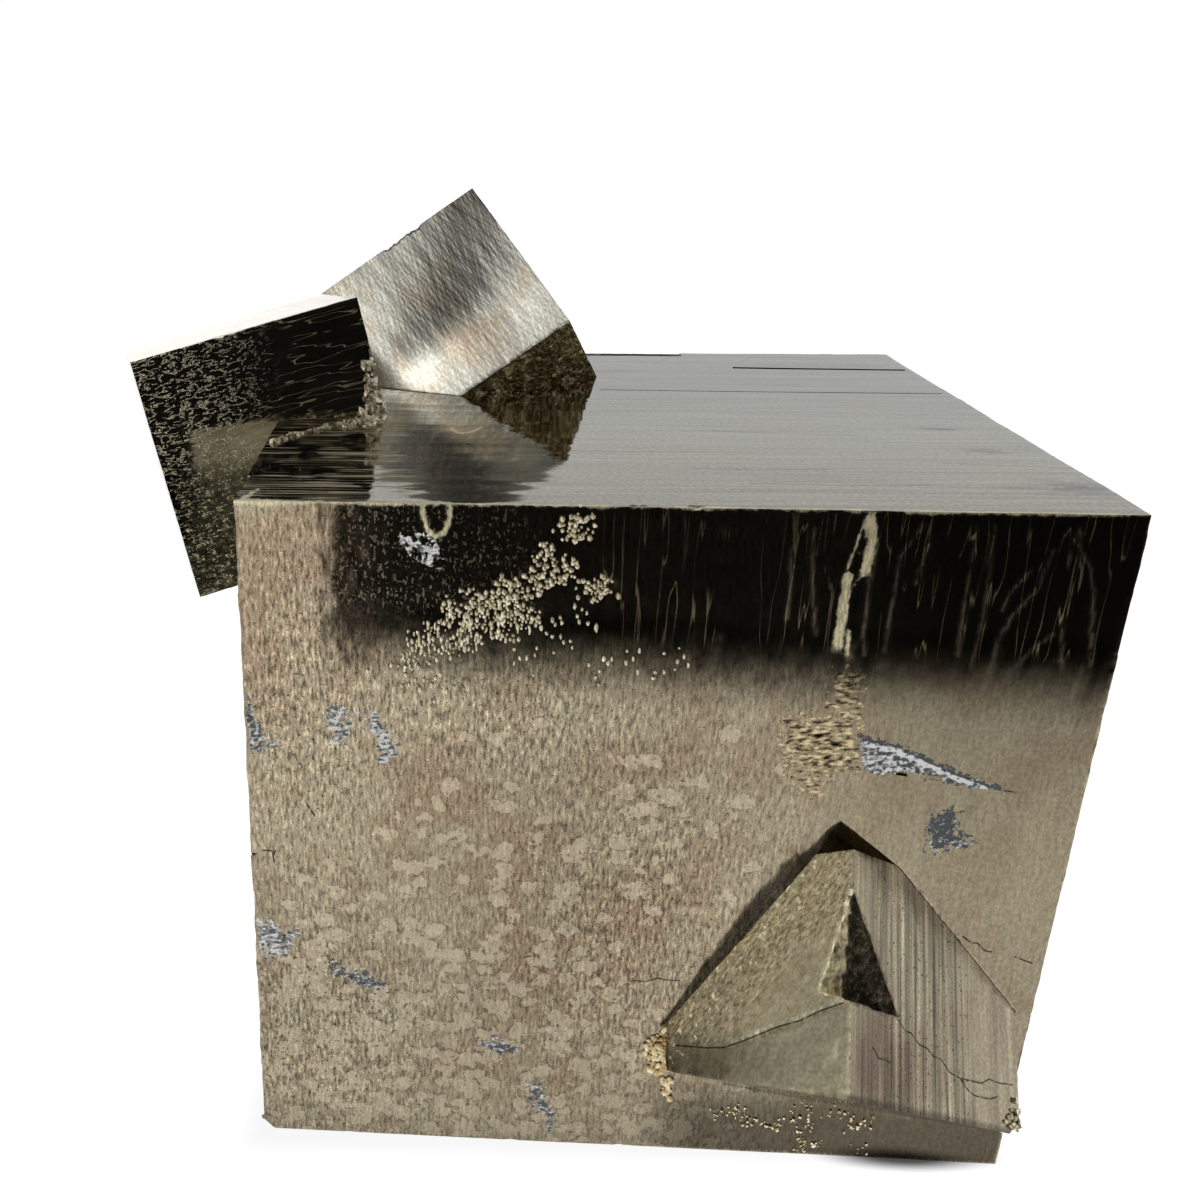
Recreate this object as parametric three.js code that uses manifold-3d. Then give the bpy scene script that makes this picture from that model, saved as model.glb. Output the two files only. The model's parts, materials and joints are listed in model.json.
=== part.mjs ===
// Pyrite specimen: a large cube crystal with three smaller cubes grown into it, as one closed solid.
// Millimetres, +Z up. The origin is the centre of the large cube's base. Its front face looks along -Y.
import * as THREE from "three";
import { ConvexGeometry } from "three/addons/geometries/ConvexGeometry.js";
import { mergeVertices } from "three/addons/utils/BufferGeometryUtils.js";
import Module from "manifold-3d";

const wasm = await Module();
wasm.setup();

// The large cube
const MAIN_WIDTH = 56;
const MAIN_DEPTH = 52.5;
const MAIN_HEIGHT = 50.8;
const FRONT_REACH = MAIN_WIDTH / 2;
const BACK_REACH = MAIN_DEPTH - FRONT_REACH;

// How far the large cube's faces lean from square, in degrees towards X, Y and Z
const FRONT_LEAN = [-1.9, 0, -0.1];
const BACK_LEAN = [-0.5, 0, 0];
const LEFT_LEAN = [0, -1.3, -0.7];
const RIGHT_LEAN = [0, 0.6, -0.1];
const TOP_LEAN = [-1.8, 0.1, 0];

// The small cubes: size along their own X, Y and Z, the place of their own corner at X, Y and Z zero,
// their turn in degrees about X, Y and Z, and the faces that lean from square
const LEFT_CUBE = {
  size: [18.4, 18.3, 18.7],
  corner: [-34.4, -9.5, 36.4],
  turn: [-3.2, -15.8, 17],
  leans: { left: [0, 0, 1.6], top: [-1.2, 0, 0] },
};
const BACK_CUBE = {
  size: [17.8, 17.6, 17.6],
  corner: [-19.9, 2.9, 46.5],
  turn: [-51.1, -29.5, -21.9],
  leans: {},
};
const FRONT_CUBE = {
  size: [18.5, 16.4, 15.8],
  corner: [11.4, -41.4, 17.1],
  turn: [-45, 5.9, 36],
  leans: { bottom: [0, 4.6, 0] },
};
const SQUARE = [0, 0, 0];

// Growth terraces: outlines across a face of the large cube, and how far each rises
const TOP_TERRACES = [
  { outline: [[-2.5, 6.6], [27.2, 6], [27.2, 23.6], [6, 23.6]], rise: 0.12 },
  { outline: [[11, 17], [27.2, 16.4], [27.2, 23.8], [14, 23.8]], rise: 0.45 },
];
const RIGHT_TERRACES = [
  { outline: [[-26, 30], [22, 31.5], [22, 44], [-26, 42]], rise: 0.25 },
  { outline: [[-10, 8], [23, 9], [23, 17], [-6, 15]], rise: 0.3 },
];
const BACK_TERRACES = [
  { outline: [[-18, 3], [6, 3], [9, 34], [-14, 38]], rise: 0.3 },
  { outline: [[14, 12], [26, 12], [26, 46], [18, 46]], rise: 0.25 },
];
const LEFT_TERRACES = [
  { outline: [[-24, 8], [10, 9], [14, 20], [-24, 18]], rise: 0.25 },
];

// Shallow pits in the front face: outlines in X and Z, and how far each sinks
const FRONT_PITS = [
  { outline: [[7.9, 36.3], [12.4, 36.6], [13.1, 33.2], [8.3, 32.6]], depth: 0.4 },
  { outline: [[12.7, 35.7], [24.1, 32], [13.4, 33.2]], depth: 0.35 },
  { outline: [[19, 30.5], [21.6, 27.9], [18.5, 27.1]], depth: 0.4 },
  { outline: [[-21.1, 36.2], [-18, 32.3], [-22.7, 33.5]], depth: 0.35 },
  { outline: [[-27.2, 36.6], [-25.8, 34.6], [-27.2, 32.8]], depth: 0.4 },
  { outline: [[-27.2, 18.8], [-24.6, 17.6], [-25.6, 16.2], [-27.2, 16.4]], depth: 0.4 },
  { outline: [[-22.5, 15.9], [-18.2, 13.6], [-19.5, 13]], depth: 0.35 },
  { outline: [[-11.5, 9.6], [-8.5, 8.9], [-9.4, 8.2], [-11, 8.4]], depth: 0.35 },
  { outline: [[-7.6, 5.8], [-6.6, 5.4], [-5.3, 1.8], [-6.2, 2]], depth: 0.35 },
];
const PIT_FLOOR_SHARE = 0.7;

// The ridge that runs down the front face from the top edge: X and Z along it
const RIDGE_LINE = [[11.6, 50.2], [10.7, 45.3], [10.9, 41.5], [11.4, 38]];
const RIDGE_WIDTH = 1;
const RIDGE_RISE = 0.25;

// Breaks: the corners of the pieces that have come away
const FRONT_CUBE_BREAK = {
  edgeTop: [0, 0, 13],
  edgeFoot: [0, 0, 6],
  leftFoot: [0, 2.6, 6.6],
  rightFoot: [4.7, 0, 5.8],
  inside: [1.6, 1.2, 7.4],
  outside: [-2, -2, 8.5],
};
const LEFT_CUBE_BREAK = { top: 15.5, foot: 4, across: 1.2, back: 2.4 };
const FRONT_CUBE_END_BREAK = { along: 1.2, up: 1.2, in: 1.6 };
const BASE_CORNER_BREAK = { along: 1.1, up: 1.3, back: 1.4 };
const EDGE_NOTCH = { height: 24.6, tall: 0.9, along: 2, back: 0.7 };
const BACK_EDGE_BREAK = { from: -9, to: 7, forward: 2.2, down: 0.45 };

// How far joined and cut pieces run past a face, so that no two surfaces fall together
const OVERLAP = 1;

const PYRITE_COLOUR = 0xa1947c;
const PYRITE_ROUGHNESS = 0.22;
const PYRITE_METALNESS = 1;

// Planes and corners
function facePlane(direction, lean, reach) {
  const normal = new THREE.Vector3(...direction);
  const tilt = new THREE.Vector3(...lean).multiplyScalar(THREE.MathUtils.DEG2RAD);
  return new THREE.Plane(normal.add(tilt), -reach);
}

function meetingPoint(first, second, third) {
  const normals = new THREE.Matrix3().set(
    ...first.normal.toArray(),
    ...second.normal.toArray(),
    ...third.normal.toArray(),
  );
  const reaches = new THREE.Vector3(-first.constant, -second.constant, -third.constant);
  return reaches.applyMatrix3(normals.invert());
}

function cornersOf(faces) {
  const corners = [];
  for (const side of [faces.left, faces.right]) {
    for (const depth of [faces.front, faces.back]) {
      for (const level of [faces.bottom, faces.top]) {
        corners.push(meetingPoint(side, depth, level));
      }
    }
  }
  return corners;
}

// Solids
function solidOf(points) {
  const geometry = new ConvexGeometry(points);
  geometry.deleteAttribute("normal");
  geometry.deleteAttribute("uv");
  const welded = mergeVertices(geometry);
  const mesh = new wasm.Mesh({
    numProp: 3,
    vertProperties: new Float32Array(welded.attributes.position.array),
    triVerts: new Uint32Array(welded.index.array),
  });
  return new wasm.Manifold(mesh);
}

function geometryOf(solid) {
  const mesh = solid.getMesh();
  const geometry = new THREE.BufferGeometry();
  geometry.setAttribute("position", new THREE.BufferAttribute(mesh.vertProperties, 3));
  geometry.setIndex(new THREE.BufferAttribute(mesh.triVerts, 1));
  geometry.computeVertexNormals();
  return geometry;
}

// The large cube's own faces
const mainFaces = {
  front: facePlane([0, -1, 0], FRONT_LEAN, FRONT_REACH),
  back: facePlane([0, 1, 0], BACK_LEAN, BACK_REACH),
  left: facePlane([-1, 0, 0], LEFT_LEAN, MAIN_WIDTH / 2),
  right: facePlane([1, 0, 0], RIGHT_LEAN, MAIN_WIDTH / 2),
  bottom: facePlane([0, 0, -1], SQUARE, 0),
  top: facePlane([0, 0, 1], TOP_LEAN, MAIN_HEIGHT),
};

// A point of a leaning face, from its two coordinates across the face, moved out along the normal
function pointOn(face, first, second, out) {
  const { normal, constant } = face;
  const steepest = ["x", "y", "z"].find((axis) => Math.abs(normal[axis]) > 0.9);
  const [u, v] = ["x", "y", "z"].filter((axis) => axis !== steepest);
  const point = new THREE.Vector3();
  point[u] = first;
  point[v] = second;
  point[steepest] = -(constant + normal[u] * first + normal[v] * second) / normal[steepest];
  return point.addScaledVector(normal, out);
}

function shrink(outline, share) {
  const middle = [0, 1].map((i) => outline.reduce((sum, point) => sum + point[i], 0) / outline.length);
  return outline.map((point) => point.map((value, i) => middle[i] + (value - middle[i]) * share));
}

function slab(face, outline, low, high) {
  const lower = outline.map(([u, v]) => pointOn(face, u, v, low));
  const upper = outline.map(([u, v]) => pointOn(face, u, v, high));
  return solidOf([...lower, ...upper]);
}

function pit(face, { outline, depth }) {
  const rim = outline.map(([u, v]) => pointOn(face, u, v, 0));
  const lid = outline.map(([u, v]) => pointOn(face, u, v, OVERLAP));
  const floor = shrink(outline, PIT_FLOOR_SHARE).map(([u, v]) => pointOn(face, u, v, -depth));
  return solidOf([...rim, ...lid, ...floor]);
}

function withTerraces(solid, face, terraces) {
  return terraces.reduce((body, { outline, rise }) => body.add(slab(face, outline, -OVERLAP, rise)), solid);
}

// The ridge on the front face, one short prism after another
function addRidge(solid) {
  let body = solid;
  for (let i = 1; i < RIDGE_LINE.length; i += 1) {
    const points = [];
    for (const [x, z] of [RIDGE_LINE[i - 1], RIDGE_LINE[i]]) {
      points.push(pointOn(mainFaces.front, x, z, RIDGE_RISE));
      points.push(pointOn(mainFaces.front, x - RIDGE_WIDTH / 2, z, -OVERLAP));
      points.push(pointOn(mainFaces.front, x + RIDGE_WIDTH / 2, z, -OVERLAP));
    }
    body = body.add(solidOf(points));
  }
  return body;
}

// Breaks in the large cube's edges
function baseCornerBreak() {
  const corner = meetingPoint(mainFaces.front, mainFaces.left, mainFaces.bottom);
  const { along, up, back } = BASE_CORNER_BREAK;
  return solidOf([
    corner.clone().add(new THREE.Vector3(-OVERLAP, -OVERLAP, -OVERLAP)),
    corner.clone().add(new THREE.Vector3(along, -OVERLAP, -OVERLAP)),
    corner.clone().add(new THREE.Vector3(-OVERLAP, back, -OVERLAP)),
    corner.clone().add(new THREE.Vector3(-OVERLAP, -OVERLAP, up)),
    corner.clone().add(new THREE.Vector3(along, 0, 0)),
    corner.clone().add(new THREE.Vector3(0, back, 0)),
    corner.clone().add(new THREE.Vector3(0, 0, up)),
  ]);
}

function edgeNotch() {
  const { height, tall, along, back } = EDGE_NOTCH;
  const x = -MAIN_WIDTH / 2;
  return solidOf([
    pointOn(mainFaces.front, x - OVERLAP, height - tall, OVERLAP),
    pointOn(mainFaces.front, x - OVERLAP, height + tall / 2, OVERLAP),
    pointOn(mainFaces.front, x - OVERLAP, height, -back),
    pointOn(mainFaces.front, x + along, height, OVERLAP / 2),
    pointOn(mainFaces.front, x + along, height - tall / 4, OVERLAP / 2),
    pointOn(mainFaces.front, x + along / 4, height - tall / 4, -back),
  ]);
}

function backEdgeBreak() {
  const { from, to, forward, down } = BACK_EDGE_BREAK;
  const points = [];
  for (const x of [from, to]) {
    points.push(pointOn(mainFaces.top, x, BACK_REACH - forward, 0));
    points.push(pointOn(mainFaces.top, x, BACK_REACH + OVERLAP, -down - down * OVERLAP / forward));
    points.push(pointOn(mainFaces.top, x, BACK_REACH + OVERLAP, OVERLAP));
  }
  return solidOf(points);
}

function mainCrystal() {
  let body = solidOf(cornersOf(mainFaces));
  body = withTerraces(body, mainFaces.top, TOP_TERRACES);
  body = withTerraces(body, mainFaces.right, RIGHT_TERRACES);
  body = withTerraces(body, mainFaces.back, BACK_TERRACES);
  body = withTerraces(body, mainFaces.left, LEFT_TERRACES);
  body = addRidge(body);
  for (const shape of FRONT_PITS) {
    body = body.subtract(pit(mainFaces.front, shape));
  }
  for (const piece of [baseCornerBreak(), edgeNotch(), backEdgeBreak()]) {
    body = body.subtract(piece);
  }
  return body;
}

// The small cubes, each made square to its own axes and then turned into place
function placeOf({ corner, turn }) {
  const angles = turn.map((angle) => THREE.MathUtils.degToRad(angle));
  const place = new THREE.Matrix4().makeRotationFromEuler(new THREE.Euler(...angles, "XYZ"));
  return place.setPosition(...corner);
}

function smallCube(cube) {
  const [width, depth, height] = cube.size;
  const { left = SQUARE, bottom = SQUARE, top = SQUARE } = cube.leans;
  const faces = {
    front: facePlane([0, -1, 0], SQUARE, 0),
    back: facePlane([0, 1, 0], SQUARE, depth),
    left: facePlane([-1, 0, 0], left, 0),
    right: facePlane([1, 0, 0], SQUARE, width),
    bottom: facePlane([0, 0, -1], bottom, 0),
    top: facePlane([0, 0, 1], top, height),
  };
  const place = placeOf(cube);
  return solidOf(cornersOf(faces).map((corner) => corner.applyMatrix4(place)));
}

function pieceOf(cube, points) {
  const place = placeOf(cube);
  return solidOf(points.map((point) => new THREE.Vector3(...point).applyMatrix4(place)));
}

function leftCrystal() {
  const [width] = LEFT_CUBE.size;
  const { top, foot, across, back } = LEFT_CUBE_BREAK;
  const piece = pieceOf(LEFT_CUBE, [
    [width, 0, top],
    [width + OVERLAP, -OVERLAP, top],
    [width - across, 0, foot],
    [width, back, foot],
    [width + OVERLAP, -OVERLAP, foot],
    [width - across, -OVERLAP, foot],
    [width + OVERLAP, back, foot],
  ]);
  return smallCube(LEFT_CUBE).subtract(piece);
}

function frontCrystal() {
  const [width] = FRONT_CUBE.size;
  const { along, up, in: inward } = FRONT_CUBE_END_BREAK;
  const endPiece = pieceOf(FRONT_CUBE, [
    [width - along, -OVERLAP, -OVERLAP],
    [width - along, 0, 0],
    [width + OVERLAP, -OVERLAP, up],
    [width, 0, up],
    [width, inward, 0],
    [width + OVERLAP, inward, -OVERLAP],
    [width + OVERLAP, -OVERLAP, -OVERLAP],
  ]);
  const edgePiece = pieceOf(FRONT_CUBE, Object.values(FRONT_CUBE_BREAK));
  return smallCube(FRONT_CUBE).subtract(edgePiece).subtract(endPiece);
}

// All four crystals grew together, so they are one body
const crystals = mainCrystal().add(leftCrystal()).add(smallCube(BACK_CUBE)).add(frontCrystal());

const material = new THREE.MeshStandardMaterial({
  color: PYRITE_COLOUR,
  roughness: PYRITE_ROUGHNESS,
  metalness: PYRITE_METALNESS,
});
const pyrite = new THREE.Mesh(geometryOf(crystals), material);
pyrite.name = "pyrite_crystals";

const group = new THREE.Group();
group.add(pyrite);

export default group;
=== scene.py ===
# %% [markdown]
# # A pyrite specimen
# The real thing is a group of pyrite cubes that grew into each other: one large cube with three small
# ones, all natural metal-bright crystal. The CAD solid already has the true planes, corners and breaks.
# This lesson keeps them and adds what a solid can't show: growth lines, pits, grains and the finish.

import json
import math

import bmesh
import bpy
import numpy as np
from mathutils import Euler, Matrix, Vector
from mathutils.geometry import delaunay_2d_cdt
from mathutils.kdtree import KDTree

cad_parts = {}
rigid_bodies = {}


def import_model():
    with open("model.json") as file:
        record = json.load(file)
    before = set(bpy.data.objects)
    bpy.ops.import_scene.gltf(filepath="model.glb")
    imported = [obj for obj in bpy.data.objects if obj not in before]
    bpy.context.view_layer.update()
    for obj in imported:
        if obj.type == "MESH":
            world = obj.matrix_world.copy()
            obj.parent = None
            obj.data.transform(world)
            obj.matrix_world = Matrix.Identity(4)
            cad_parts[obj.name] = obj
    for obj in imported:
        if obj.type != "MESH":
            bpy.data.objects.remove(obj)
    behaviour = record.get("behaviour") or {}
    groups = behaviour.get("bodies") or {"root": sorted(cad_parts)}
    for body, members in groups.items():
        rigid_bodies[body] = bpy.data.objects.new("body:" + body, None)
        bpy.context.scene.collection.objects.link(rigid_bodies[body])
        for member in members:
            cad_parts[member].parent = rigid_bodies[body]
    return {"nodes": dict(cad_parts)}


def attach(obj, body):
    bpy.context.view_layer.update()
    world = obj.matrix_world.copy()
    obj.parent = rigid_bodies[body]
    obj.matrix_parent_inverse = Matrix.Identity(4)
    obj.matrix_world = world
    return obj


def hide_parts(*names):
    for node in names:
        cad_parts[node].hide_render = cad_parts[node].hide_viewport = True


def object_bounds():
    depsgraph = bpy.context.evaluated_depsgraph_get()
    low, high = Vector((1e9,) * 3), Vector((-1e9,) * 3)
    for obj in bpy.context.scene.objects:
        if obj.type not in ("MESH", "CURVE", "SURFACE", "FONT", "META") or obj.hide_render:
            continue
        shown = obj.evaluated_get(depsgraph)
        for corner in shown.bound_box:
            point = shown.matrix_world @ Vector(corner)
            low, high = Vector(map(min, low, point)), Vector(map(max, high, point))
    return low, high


for leftover in list(bpy.data.objects):
    bpy.data.objects.remove(leftover)
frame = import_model()
cad_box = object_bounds()
MM = 0.001
print("CAD box in mm:", [[round(value / MM, 2) for value in corner] for corner in cad_box])

# %% [markdown]
# ## Camera
# The photograph was taken from very near, a little above the top face and left of the middle, so the
# edges run together strongly. A long lens would look calmer but would show another object. The values
# come from solving the large cube's corners. The shift stands for the picture having been cropped.

# %% Camera
IMAGE_PX = 1200
FOCAL_PX = 1272
MIDDLE_PX = 500
SENSOR_MM = 36
FAR_CLIP = 100
CAMERA_PLACE = (-13.16, -103.06, 73.61)
CAMERA_TILT = (-21.356, -2.335, -0.554)

camera_data = bpy.data.cameras.new("camera")
camera_data.sensor_width = SENSOR_MM
camera_data.lens = FOCAL_PX / IMAGE_PX * SENSOR_MM
camera_data.shift_x = 0.5 - MIDDLE_PX / IMAGE_PX
camera_data.clip_start = MM
camera_data.clip_end = FAR_CLIP
camera = bpy.data.objects.new("camera", camera_data)
bpy.context.scene.collection.objects.link(camera)
level = Euler((math.radians(90), 0, 0)).to_matrix()
tilt = Euler([math.radians(angle) for angle in CAMERA_TILT]).to_matrix()
camera.matrix_world = Matrix.Translation(Vector(CAMERA_PLACE) * MM) @ (tilt @ level).to_4x4()
bpy.context.scene.camera = camera
bpy.context.scene.view_settings.view_transform = "Standard"
print("camera lens in mm:", round(camera_data.lens, 2))

# %% [markdown]
# ## Node helpers
# Materials are small node trees. They could be put together by hand in the node editor, but a script can
# be read and repeated. One helper adds a node and connects or sets its inputs. The others add the nodes
# that are needed most: a sum, a colour blend and a soft step from one value to another.

# %% Node helpers
def add_node(tree, kind, inputs=None, **settings):
    made = tree.nodes.new(kind)
    for name, value in settings.items():
        setattr(made, name, value)
    for name, value in (inputs or {}).items():
        if isinstance(value, bpy.types.NodeSocket):
            tree.links.new(value, made.inputs[name])
        else:
            made.inputs[name].default_value = value
    return made


def sum_node(tree, operation, first, second=0.0):
    return add_node(tree, "ShaderNodeMath", {0: first, 1: second}, operation=operation).outputs[0]


def blend_colour(tree, factor, first, second, blend_type="MIX"):
    inputs = {0: factor, 6: first, 7: second}
    made = add_node(tree, "ShaderNodeMix", inputs, data_type="RGBA", blend_type=blend_type)
    return made.outputs[2]


def spread(tree, value, low, high, to_low=0.0, to_high=1.0):
    """A soft step from one value to another, while the input goes from low to high."""
    inputs = {0: value, 1: low, 2: high, 3: to_low, 4: to_high}
    return add_node(tree, "ShaderNodeMapRange", inputs, interpolation_type="SMOOTHSTEP").outputs[0]


def new_material(name):
    made = bpy.data.materials.new(name)
    made.use_nodes = True
    made.node_tree.nodes.clear()
    return made, made.node_tree


def rgb(red, green, blue):
    return (red, green, blue, 1.0)


# %% [markdown]
# ## Stage
# A mirror-like crystal shows its surroundings more than itself, so the stage matters as much as the
# finish. The floor is a pale sheet that shines with its own light, which keeps it white right up to the
# base, and its soft shadow is worked out from the distance to the base. The sky is white near the horizon
# and dims overhead. Cards and panels that only reflections see give the faces something to mirror: a dark
# card in front, low dark cards behind and to the right, a grey card far behind, and two bright panels to
# the left. Lamps would give small hard highlights, which this specimen doesn't show.

# %% Floor
FLOOR_RADIUS = 4.0
FLOOR_SIDES = 96
FLOOR_SHINE = 1.08
BASE_MIDDLE = (0.0, -1.75 * MM, 0.0)
BASE_HALF = (27.4 * MM, 26 * MM, 0.0)
SHADOW_REACH = 3.5 * MM
SHADOW_SHADE = 0.86
DARK_SPOT = (21.5 * MM, -28.3 * MM, 0.0)
DARK_SPREAD = (1 / (8 * MM), 1 / (1.9 * MM), 0.0)
DARK_CORE = 0.3
DARK_SHADE = 0.08


def vector_step(tree, operation, first, second=(0, 0, 0), output="Vector"):
    made = add_node(tree, "ShaderNodeVectorMath", {0: first, 1: second}, operation=operation)
    return made.outputs[output]


floor_mesh = bmesh.new()
bmesh.ops.create_circle(floor_mesh, cap_ends=True, segments=FLOOR_SIDES, radius=FLOOR_RADIUS)
floor_data = bpy.data.meshes.new("floor")
floor_mesh.to_mesh(floor_data)
floor_mesh.free()
floor = bpy.data.objects.new("floor", floor_data)
bpy.context.scene.collection.objects.link(floor)
paper, tree = new_material("pale_floor")
spot = add_node(tree, "ShaderNodeTexCoord").outputs["Object"]
off_middle = vector_step(tree, "ABSOLUTE", vector_step(tree, "SUBTRACT", spot, BASE_MIDDLE))
beyond = vector_step(tree, "MAXIMUM", vector_step(tree, "SUBTRACT", off_middle, BASE_HALF))
away = vector_step(tree, "LENGTH", beyond, output="Value")
off_spot = vector_step(tree, "MULTIPLY", vector_step(tree, "SUBTRACT", spot, DARK_SPOT), DARK_SPREAD)
off_spot = vector_step(tree, "LENGTH", off_spot, output="Value")
by_base = spread(tree, away, 0.0, SHADOW_REACH, SHADOW_SHADE, 1.0)
by_corner = spread(tree, off_spot, DARK_CORE, 1.0, DARK_SHADE, 1.0)
shadow = sum_node(tree, "MULTIPLY", by_base, by_corner)
glow = add_node(tree, "ShaderNodeEmission", {"Strength": sum_node(tree, "MULTIPLY", shadow, FLOOR_SHINE)})
add_node(tree, "ShaderNodeOutputMaterial", {"Surface": glow.outputs[0]})
paper.cycles.emission_sampling = "NONE"
floor_data.materials.append(paper)
print("floor radius in m:", FLOOR_RADIUS)

# %% Sky
WHITE = rgb(1, 1, 1)
SKY_HORIZON = 1.0
SKY_ZENITH = 0.35
SKY_DIMMING = (0.3, 0.75)

world = bpy.data.worlds.new("studio_sky")
world.use_nodes = True
bpy.context.scene.world = world
tree = world.node_tree
tree.nodes.clear()
direction = add_node(tree, "ShaderNodeTexCoord").outputs["Generated"]
height = add_node(tree, "ShaderNodeSeparateXYZ", {0: direction}).outputs["Z"]
strength = spread(tree, height, *SKY_DIMMING, SKY_HORIZON, SKY_ZENITH)
sky = add_node(tree, "ShaderNodeBackground", {"Color": WHITE, "Strength": strength})
add_node(tree, "ShaderNodeOutputWorld", {"Surface": sky.outputs[0]})
world.cycles.sampling_method = "NONE"
print("sky strength from the horizon up:", SKY_HORIZON, "to", SKY_ZENITH)

# %% Panels and cards, in mm
PANELS = {
    "dark_card": {
        "place": (38.2, -109, 74.5), "towards": (38.2, 0, 74.5), "size": (151.6, 151),
        "strength": 0.012, "fade": (0.006, 0.06),
    },
    "back_card": {
        "place": (95, 88, 29), "towards": (95, 0, 29), "size": (230, 58),
        "strength": 0.05, "fade": (0.1, 0.5),
    },
    "right_card": {
        "place": (88, 85, 29), "towards": (0, 85, 29), "size": (130, 58),
        "strength": 0.05, "fade": (0.1, 0.5),
    },
    "grey_card": {
        "place": (110, 600, 260), "towards": (110, 0, 260), "size": (1000, 480),
        "strength": 0.84, "fade": (0.1, 0.1), "colour": rgb(0.96, 0.98, 1.0),
    },
    "soft_panel": {
        "place": (-420, -60, 600), "towards": (-20, 0, 50), "size": (420, 420),
        "strength": 1.9, "fade": (0.15, 0.15),
    },
    "left_window": {
        "place": (-520, -130, 105), "towards": (0, -30, 20), "size": (380, 190),
        "strength": 1.9, "fade": (0.1, 0.1),
    },
}


def panel(name, place, towards, size, strength, fade, colour=WHITE):
    """A flat sheet that only reflections see. It fades out at both sides and at the foot."""
    mesh = bmesh.new()
    bmesh.ops.create_grid(mesh, x_segments=1, y_segments=1, size=0.5)
    data = bpy.data.meshes.new(name)
    mesh.to_mesh(data)
    mesh.free()
    made = bpy.data.objects.new(name, data)
    bpy.context.scene.collection.objects.link(made)
    facing = (Vector(towards) - Vector(place)).to_track_quat("Z", "Y")
    scale = Vector((size[0] * MM, size[1] * MM, 1))
    made.matrix_world = Matrix.LocRotScale(Vector(place) * MM, facing, scale)
    finish, nodes = new_material(name)
    spot = add_node(nodes, "ShaderNodeTexCoord").outputs["Object"]
    across, up, _ = add_node(nodes, "ShaderNodeSeparateXYZ", {0: spot}).outputs
    sideways = spread(nodes, sum_node(nodes, "ABSOLUTE", across), 0.5, 0.5 - fade[0])
    solid = sum_node(nodes, "MULTIPLY", sideways, spread(nodes, up, -0.5, -0.5 + fade[1]))
    light = add_node(nodes, "ShaderNodeEmission", {"Color": colour, "Strength": strength})
    clear = add_node(nodes, "ShaderNodeBsdfTransparent")
    sheet = add_node(nodes, "ShaderNodeMixShader", {0: solid, 1: clear.outputs[0], 2: light.outputs[0]})
    add_node(nodes, "ShaderNodeOutputMaterial", {"Surface": sheet.outputs[0]})
    finish.cycles.emission_sampling = "NONE"
    data.materials.append(finish)
    made.visible_camera = False
    made.visible_diffuse = False
    made.visible_shadow = False


for name, values in PANELS.items():
    panel(name, **values)
print("panels and cards:", len(PANELS))

# %% [markdown]
# ## The faces of the cubes
# Each cube face carries fine growth lines in one direction, and no two kinds of face look alike. The CAD
# surface is one closed skin of large triangles. Each flat area is found by growing out from a triangle,
# then matched with the cube face whose plane it lies in, so that it can get its own lines and finish.

# %% Cube frames
LARGE_REACH = {"front": 28, "back": 24.5, "left": 28, "right": 28, "bottom": 0, "top": 50.8}
LARGE_LEAN = {
    "front": (-1.9, 0, -0.1), "back": (-0.5, 0, 0), "left": (0, -1.3, -0.7),
    "right": (0, 0.6, -0.1), "bottom": (0, 0, 0), "top": (-1.8, 0.1, 0),
}
LEFT_CUBE = {"size": (18.4, 18.3, 18.7), "corner": (-34.4, -9.5, 36.4), "turn": (-3.2, -15.8, 17)}
BEHIND_CUBE = {"size": (17.8, 17.6, 17.6), "corner": (-19.9, 2.9, 46.5), "turn": (-51.1, -29.5, -21.9)}
CORNER_CUBE = {"size": (18.5, 16.4, 15.8), "corner": (11.4, -41.4, 17.1), "turn": (-45, 5.9, 36)}
OUTWARD = {
    "front": (0, -1, 0), "back": (0, 1, 0), "left": (-1, 0, 0),
    "right": (1, 0, 0), "bottom": (0, 0, -1), "top": (0, 0, 1),
}
LINE_AXIS = {"front": 2, "back": 2, "left": 1, "right": 1, "bottom": 0, "top": 0}
LEFT_LINE_AXIS = {"front": 0, "back": 0, "left": 2, "right": 2, "bottom": 1, "top": 1}


def turn_of(cube):
    angles = [math.radians(angle) for angle in cube["turn"]]
    return np.array(Euler(angles, "ZYX").to_matrix())


def large_faces():
    found = {}
    for side, outward in OUTWARD.items():
        normal = np.array(outward, float) + np.radians(LARGE_LEAN[side])
        found[f"large_{side}"] = {
            "normal": normal, "reach": LARGE_REACH[side], "along": np.eye(3)[LINE_AXIS[side]],
        }
    return found


def small_faces(name, cube, line_axis):
    axes = turn_of(cube)
    width, depth, tall = cube["size"]
    reaches = {"front": 0, "back": depth, "left": 0, "right": width, "bottom": 0, "top": tall}
    found = {}
    for side, outward in OUTWARD.items():
        normal = axes @ np.array(outward, float)
        reach = normal @ np.array(cube["corner"]) + reaches[side]
        found[f"{name}_{side}"] = {"normal": normal, "reach": reach, "along": axes[:, line_axis[side]]}
    return found


planes = large_faces()
planes.update(small_faces("left", LEFT_CUBE, LEFT_LINE_AXIS))
planes.update(small_faces("behind", BEHIND_CUBE, LINE_AXIS))
planes.update(small_faces("corner", CORNER_CUBE, LINE_AXIS))
print("cube faces:", len(planes))

# %% Flat areas of the CAD skin
WELD = 2e-6
FLATNESS = 4e-6

cad = frame["nodes"]["pyrite_crystals"]
skin = bmesh.new()
skin.from_mesh(cad.data)
bmesh.ops.remove_doubles(skin, verts=skin.verts, dist=WELD)
skin.normal_update()
skin.verts.index_update()
skin.edges.index_update()
skin.faces.index_update()


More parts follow.
